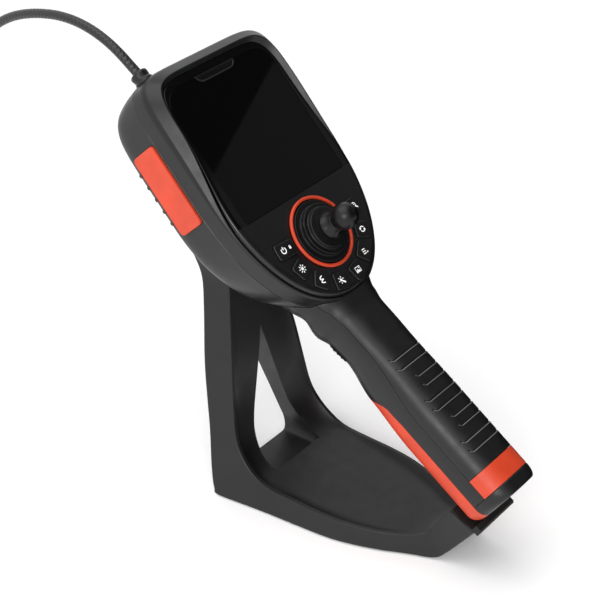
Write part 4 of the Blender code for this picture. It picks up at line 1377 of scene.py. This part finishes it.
for build in (front_housing, rear_housing, face_plate, screen, tab, key_caps, pictograms, joystick,
              port_cover, handle, butt, finger_ribs, gland, stand_frame_piece, carried_details):
    build()


# ---- floor and light

FLOOR_SIZE = 6.0
FLOOR_GLOW = 0.08
BLACK_CARD = {"near": 0.13, "far": 0.7, "front": -0.6, "back": 0.45, "low": 0.002, "high": 0.4}


def add_stage(name, points, faces, look):
    mesh = bpy.data.meshes.new(name)
    mesh.from_pydata(points, [], faces)
    mesh.materials.append(look)
    made = add_object(name, mesh)
    return made


def add_floor():
    points = [(x, y, 0.0) for x, y in rectangle(FLOOR_SIZE, FLOOR_SIZE)]
    look = new_material("floor", (0.94, 0.94, 0.94), 0.8, Specular_IOR_Level=0.1,
                        Emission_Color=(1.0, 1.0, 1.0, 1.0), Emission_Strength=FLOOR_GLOW)
    add_stage("floor", points, [(0, 1, 2, 3)], look)


def add_flag():
    """A black card low on the right, seen only in reflections, keeps the right-hand faces dark."""
    near, far, front, back, low, high = BLACK_CARD.values()
    points = [(near, front, low), (far, front, low), (far, back, low), (near, back, low),
              (far, front, high), (far, back, high)]
    look = new_material("flag", (0.0, 0.0, 0.0), 1.0, Specular_IOR_Level=0.0)
    flag = add_stage("flag", points, [(0, 1, 2, 3), (1, 4, 5, 2)], look)
    flag.visible_camera = False
    flag.visible_diffuse = False
    flag.visible_shadow = False
    flag.visible_transmission = False


def add_light(name, spot, aim, radiance, width, height):
    data = bpy.data.lights.new(name, "AREA")
    data.shape = "RECTANGLE"
    data.size = width
    data.size_y = height
    data.energy = radiance * pi * width * height
    light = add_object(name, data)
    light.location = spot
    light.rotation_euler = (Vector(aim) - Vector(spot)).to_track_quat("-Z", "Y").to_euler()
    light.visible_camera = False
    return light


CARD_LINE = ((54.2, 123.4), (-48.2, 77.0))
CARD_SIZE = (260.0, 170.0)
CARD_DISTANCE = 500.0
CARD_RADIANCE = 0.16


def add_card():
    """A dim card whose upper edge mirrors in the glass as a slanting line."""
    camera = HEAD.inverted() @ bpy.context.scene.camera.location / MM
    high, low = (Vector((*point, 0.0)) for point in CARD_LINE)
    along = (high - low).normalized()
    down = Vector((along.y, -along.x, 0.0))
    middle = (high + low) / 2 + down * CARD_SIZE[1] / 2
    scale = (camera.z + CARD_DISTANCE) / camera.z
    eye = Vector((camera.x, camera.y, 0.0))
    centre = eye + (middle - eye) * scale + Vector((0.0, 0.0, CARD_DISTANCE))
    light = add_light("card", (0.0, 0.0, 1.0), (0.0, 0.0, 0.0), CARD_RADIANCE,
                      CARD_SIZE[0] * scale * MM, CARD_SIZE[1] * scale * MM)
    turn = Matrix.Rotation(atan2(along.y, along.x), 4, "Z")
    light.matrix_world = at(HEAD, *centre) @ turn


DARK_SIDE = (0.60, -0.68, 0.42)
DARK_RANGE = {"From Min": 0.45, "From Max": 0.88, "To Min": 1.0, "To Max": 0.05}
BACKDROP = 0.93


def add_world():
    """A pale room that lights and reflects darker where the screen faces, seen plain white."""
    world = bpy.data.worlds.new("studio")
    world.use_nodes = True
    background = world.node_tree.nodes["Background"]
    background.inputs["Color"].default_value = (1.0, 1.0, 1.0, 1.0)
    coords = add_node(world, "ShaderNodeTexCoord")
    fade = add_node(world, "ShaderNodeMapRange", **DARK_RANGE)
    fade.interpolation_type = "SMOOTHSTEP"
    join(world, measured(world, coords.outputs["Generated"], DARK_SIDE), fade.inputs["Value"])
    level = add_node(world, "ShaderNodeMix", B=BACKDROP)
    seen = add_node(world, "ShaderNodeLightPath")
    join(world, seen.outputs["Is Camera Ray"], level.inputs["Factor"])
    join(world, fade.outputs["Result"], level.inputs["A"])
    join(world, level.outputs["Result"], background.inputs["Strength"])
    bpy.context.scene.world = world


add_floor()
add_flag()
add_world()
add_light("top", (-0.5, 0.4, 2.3), (0.0, 0.0, 0.0), 1.4, 2.2, 2.2)
add_light("front", (-1.45, -0.85, 1.05), (0.0, 0.0, 0.15), 6.0, 0.9, 0.7)
add_card()
bpy.context.scene.view_settings.view_transform = "Standard"
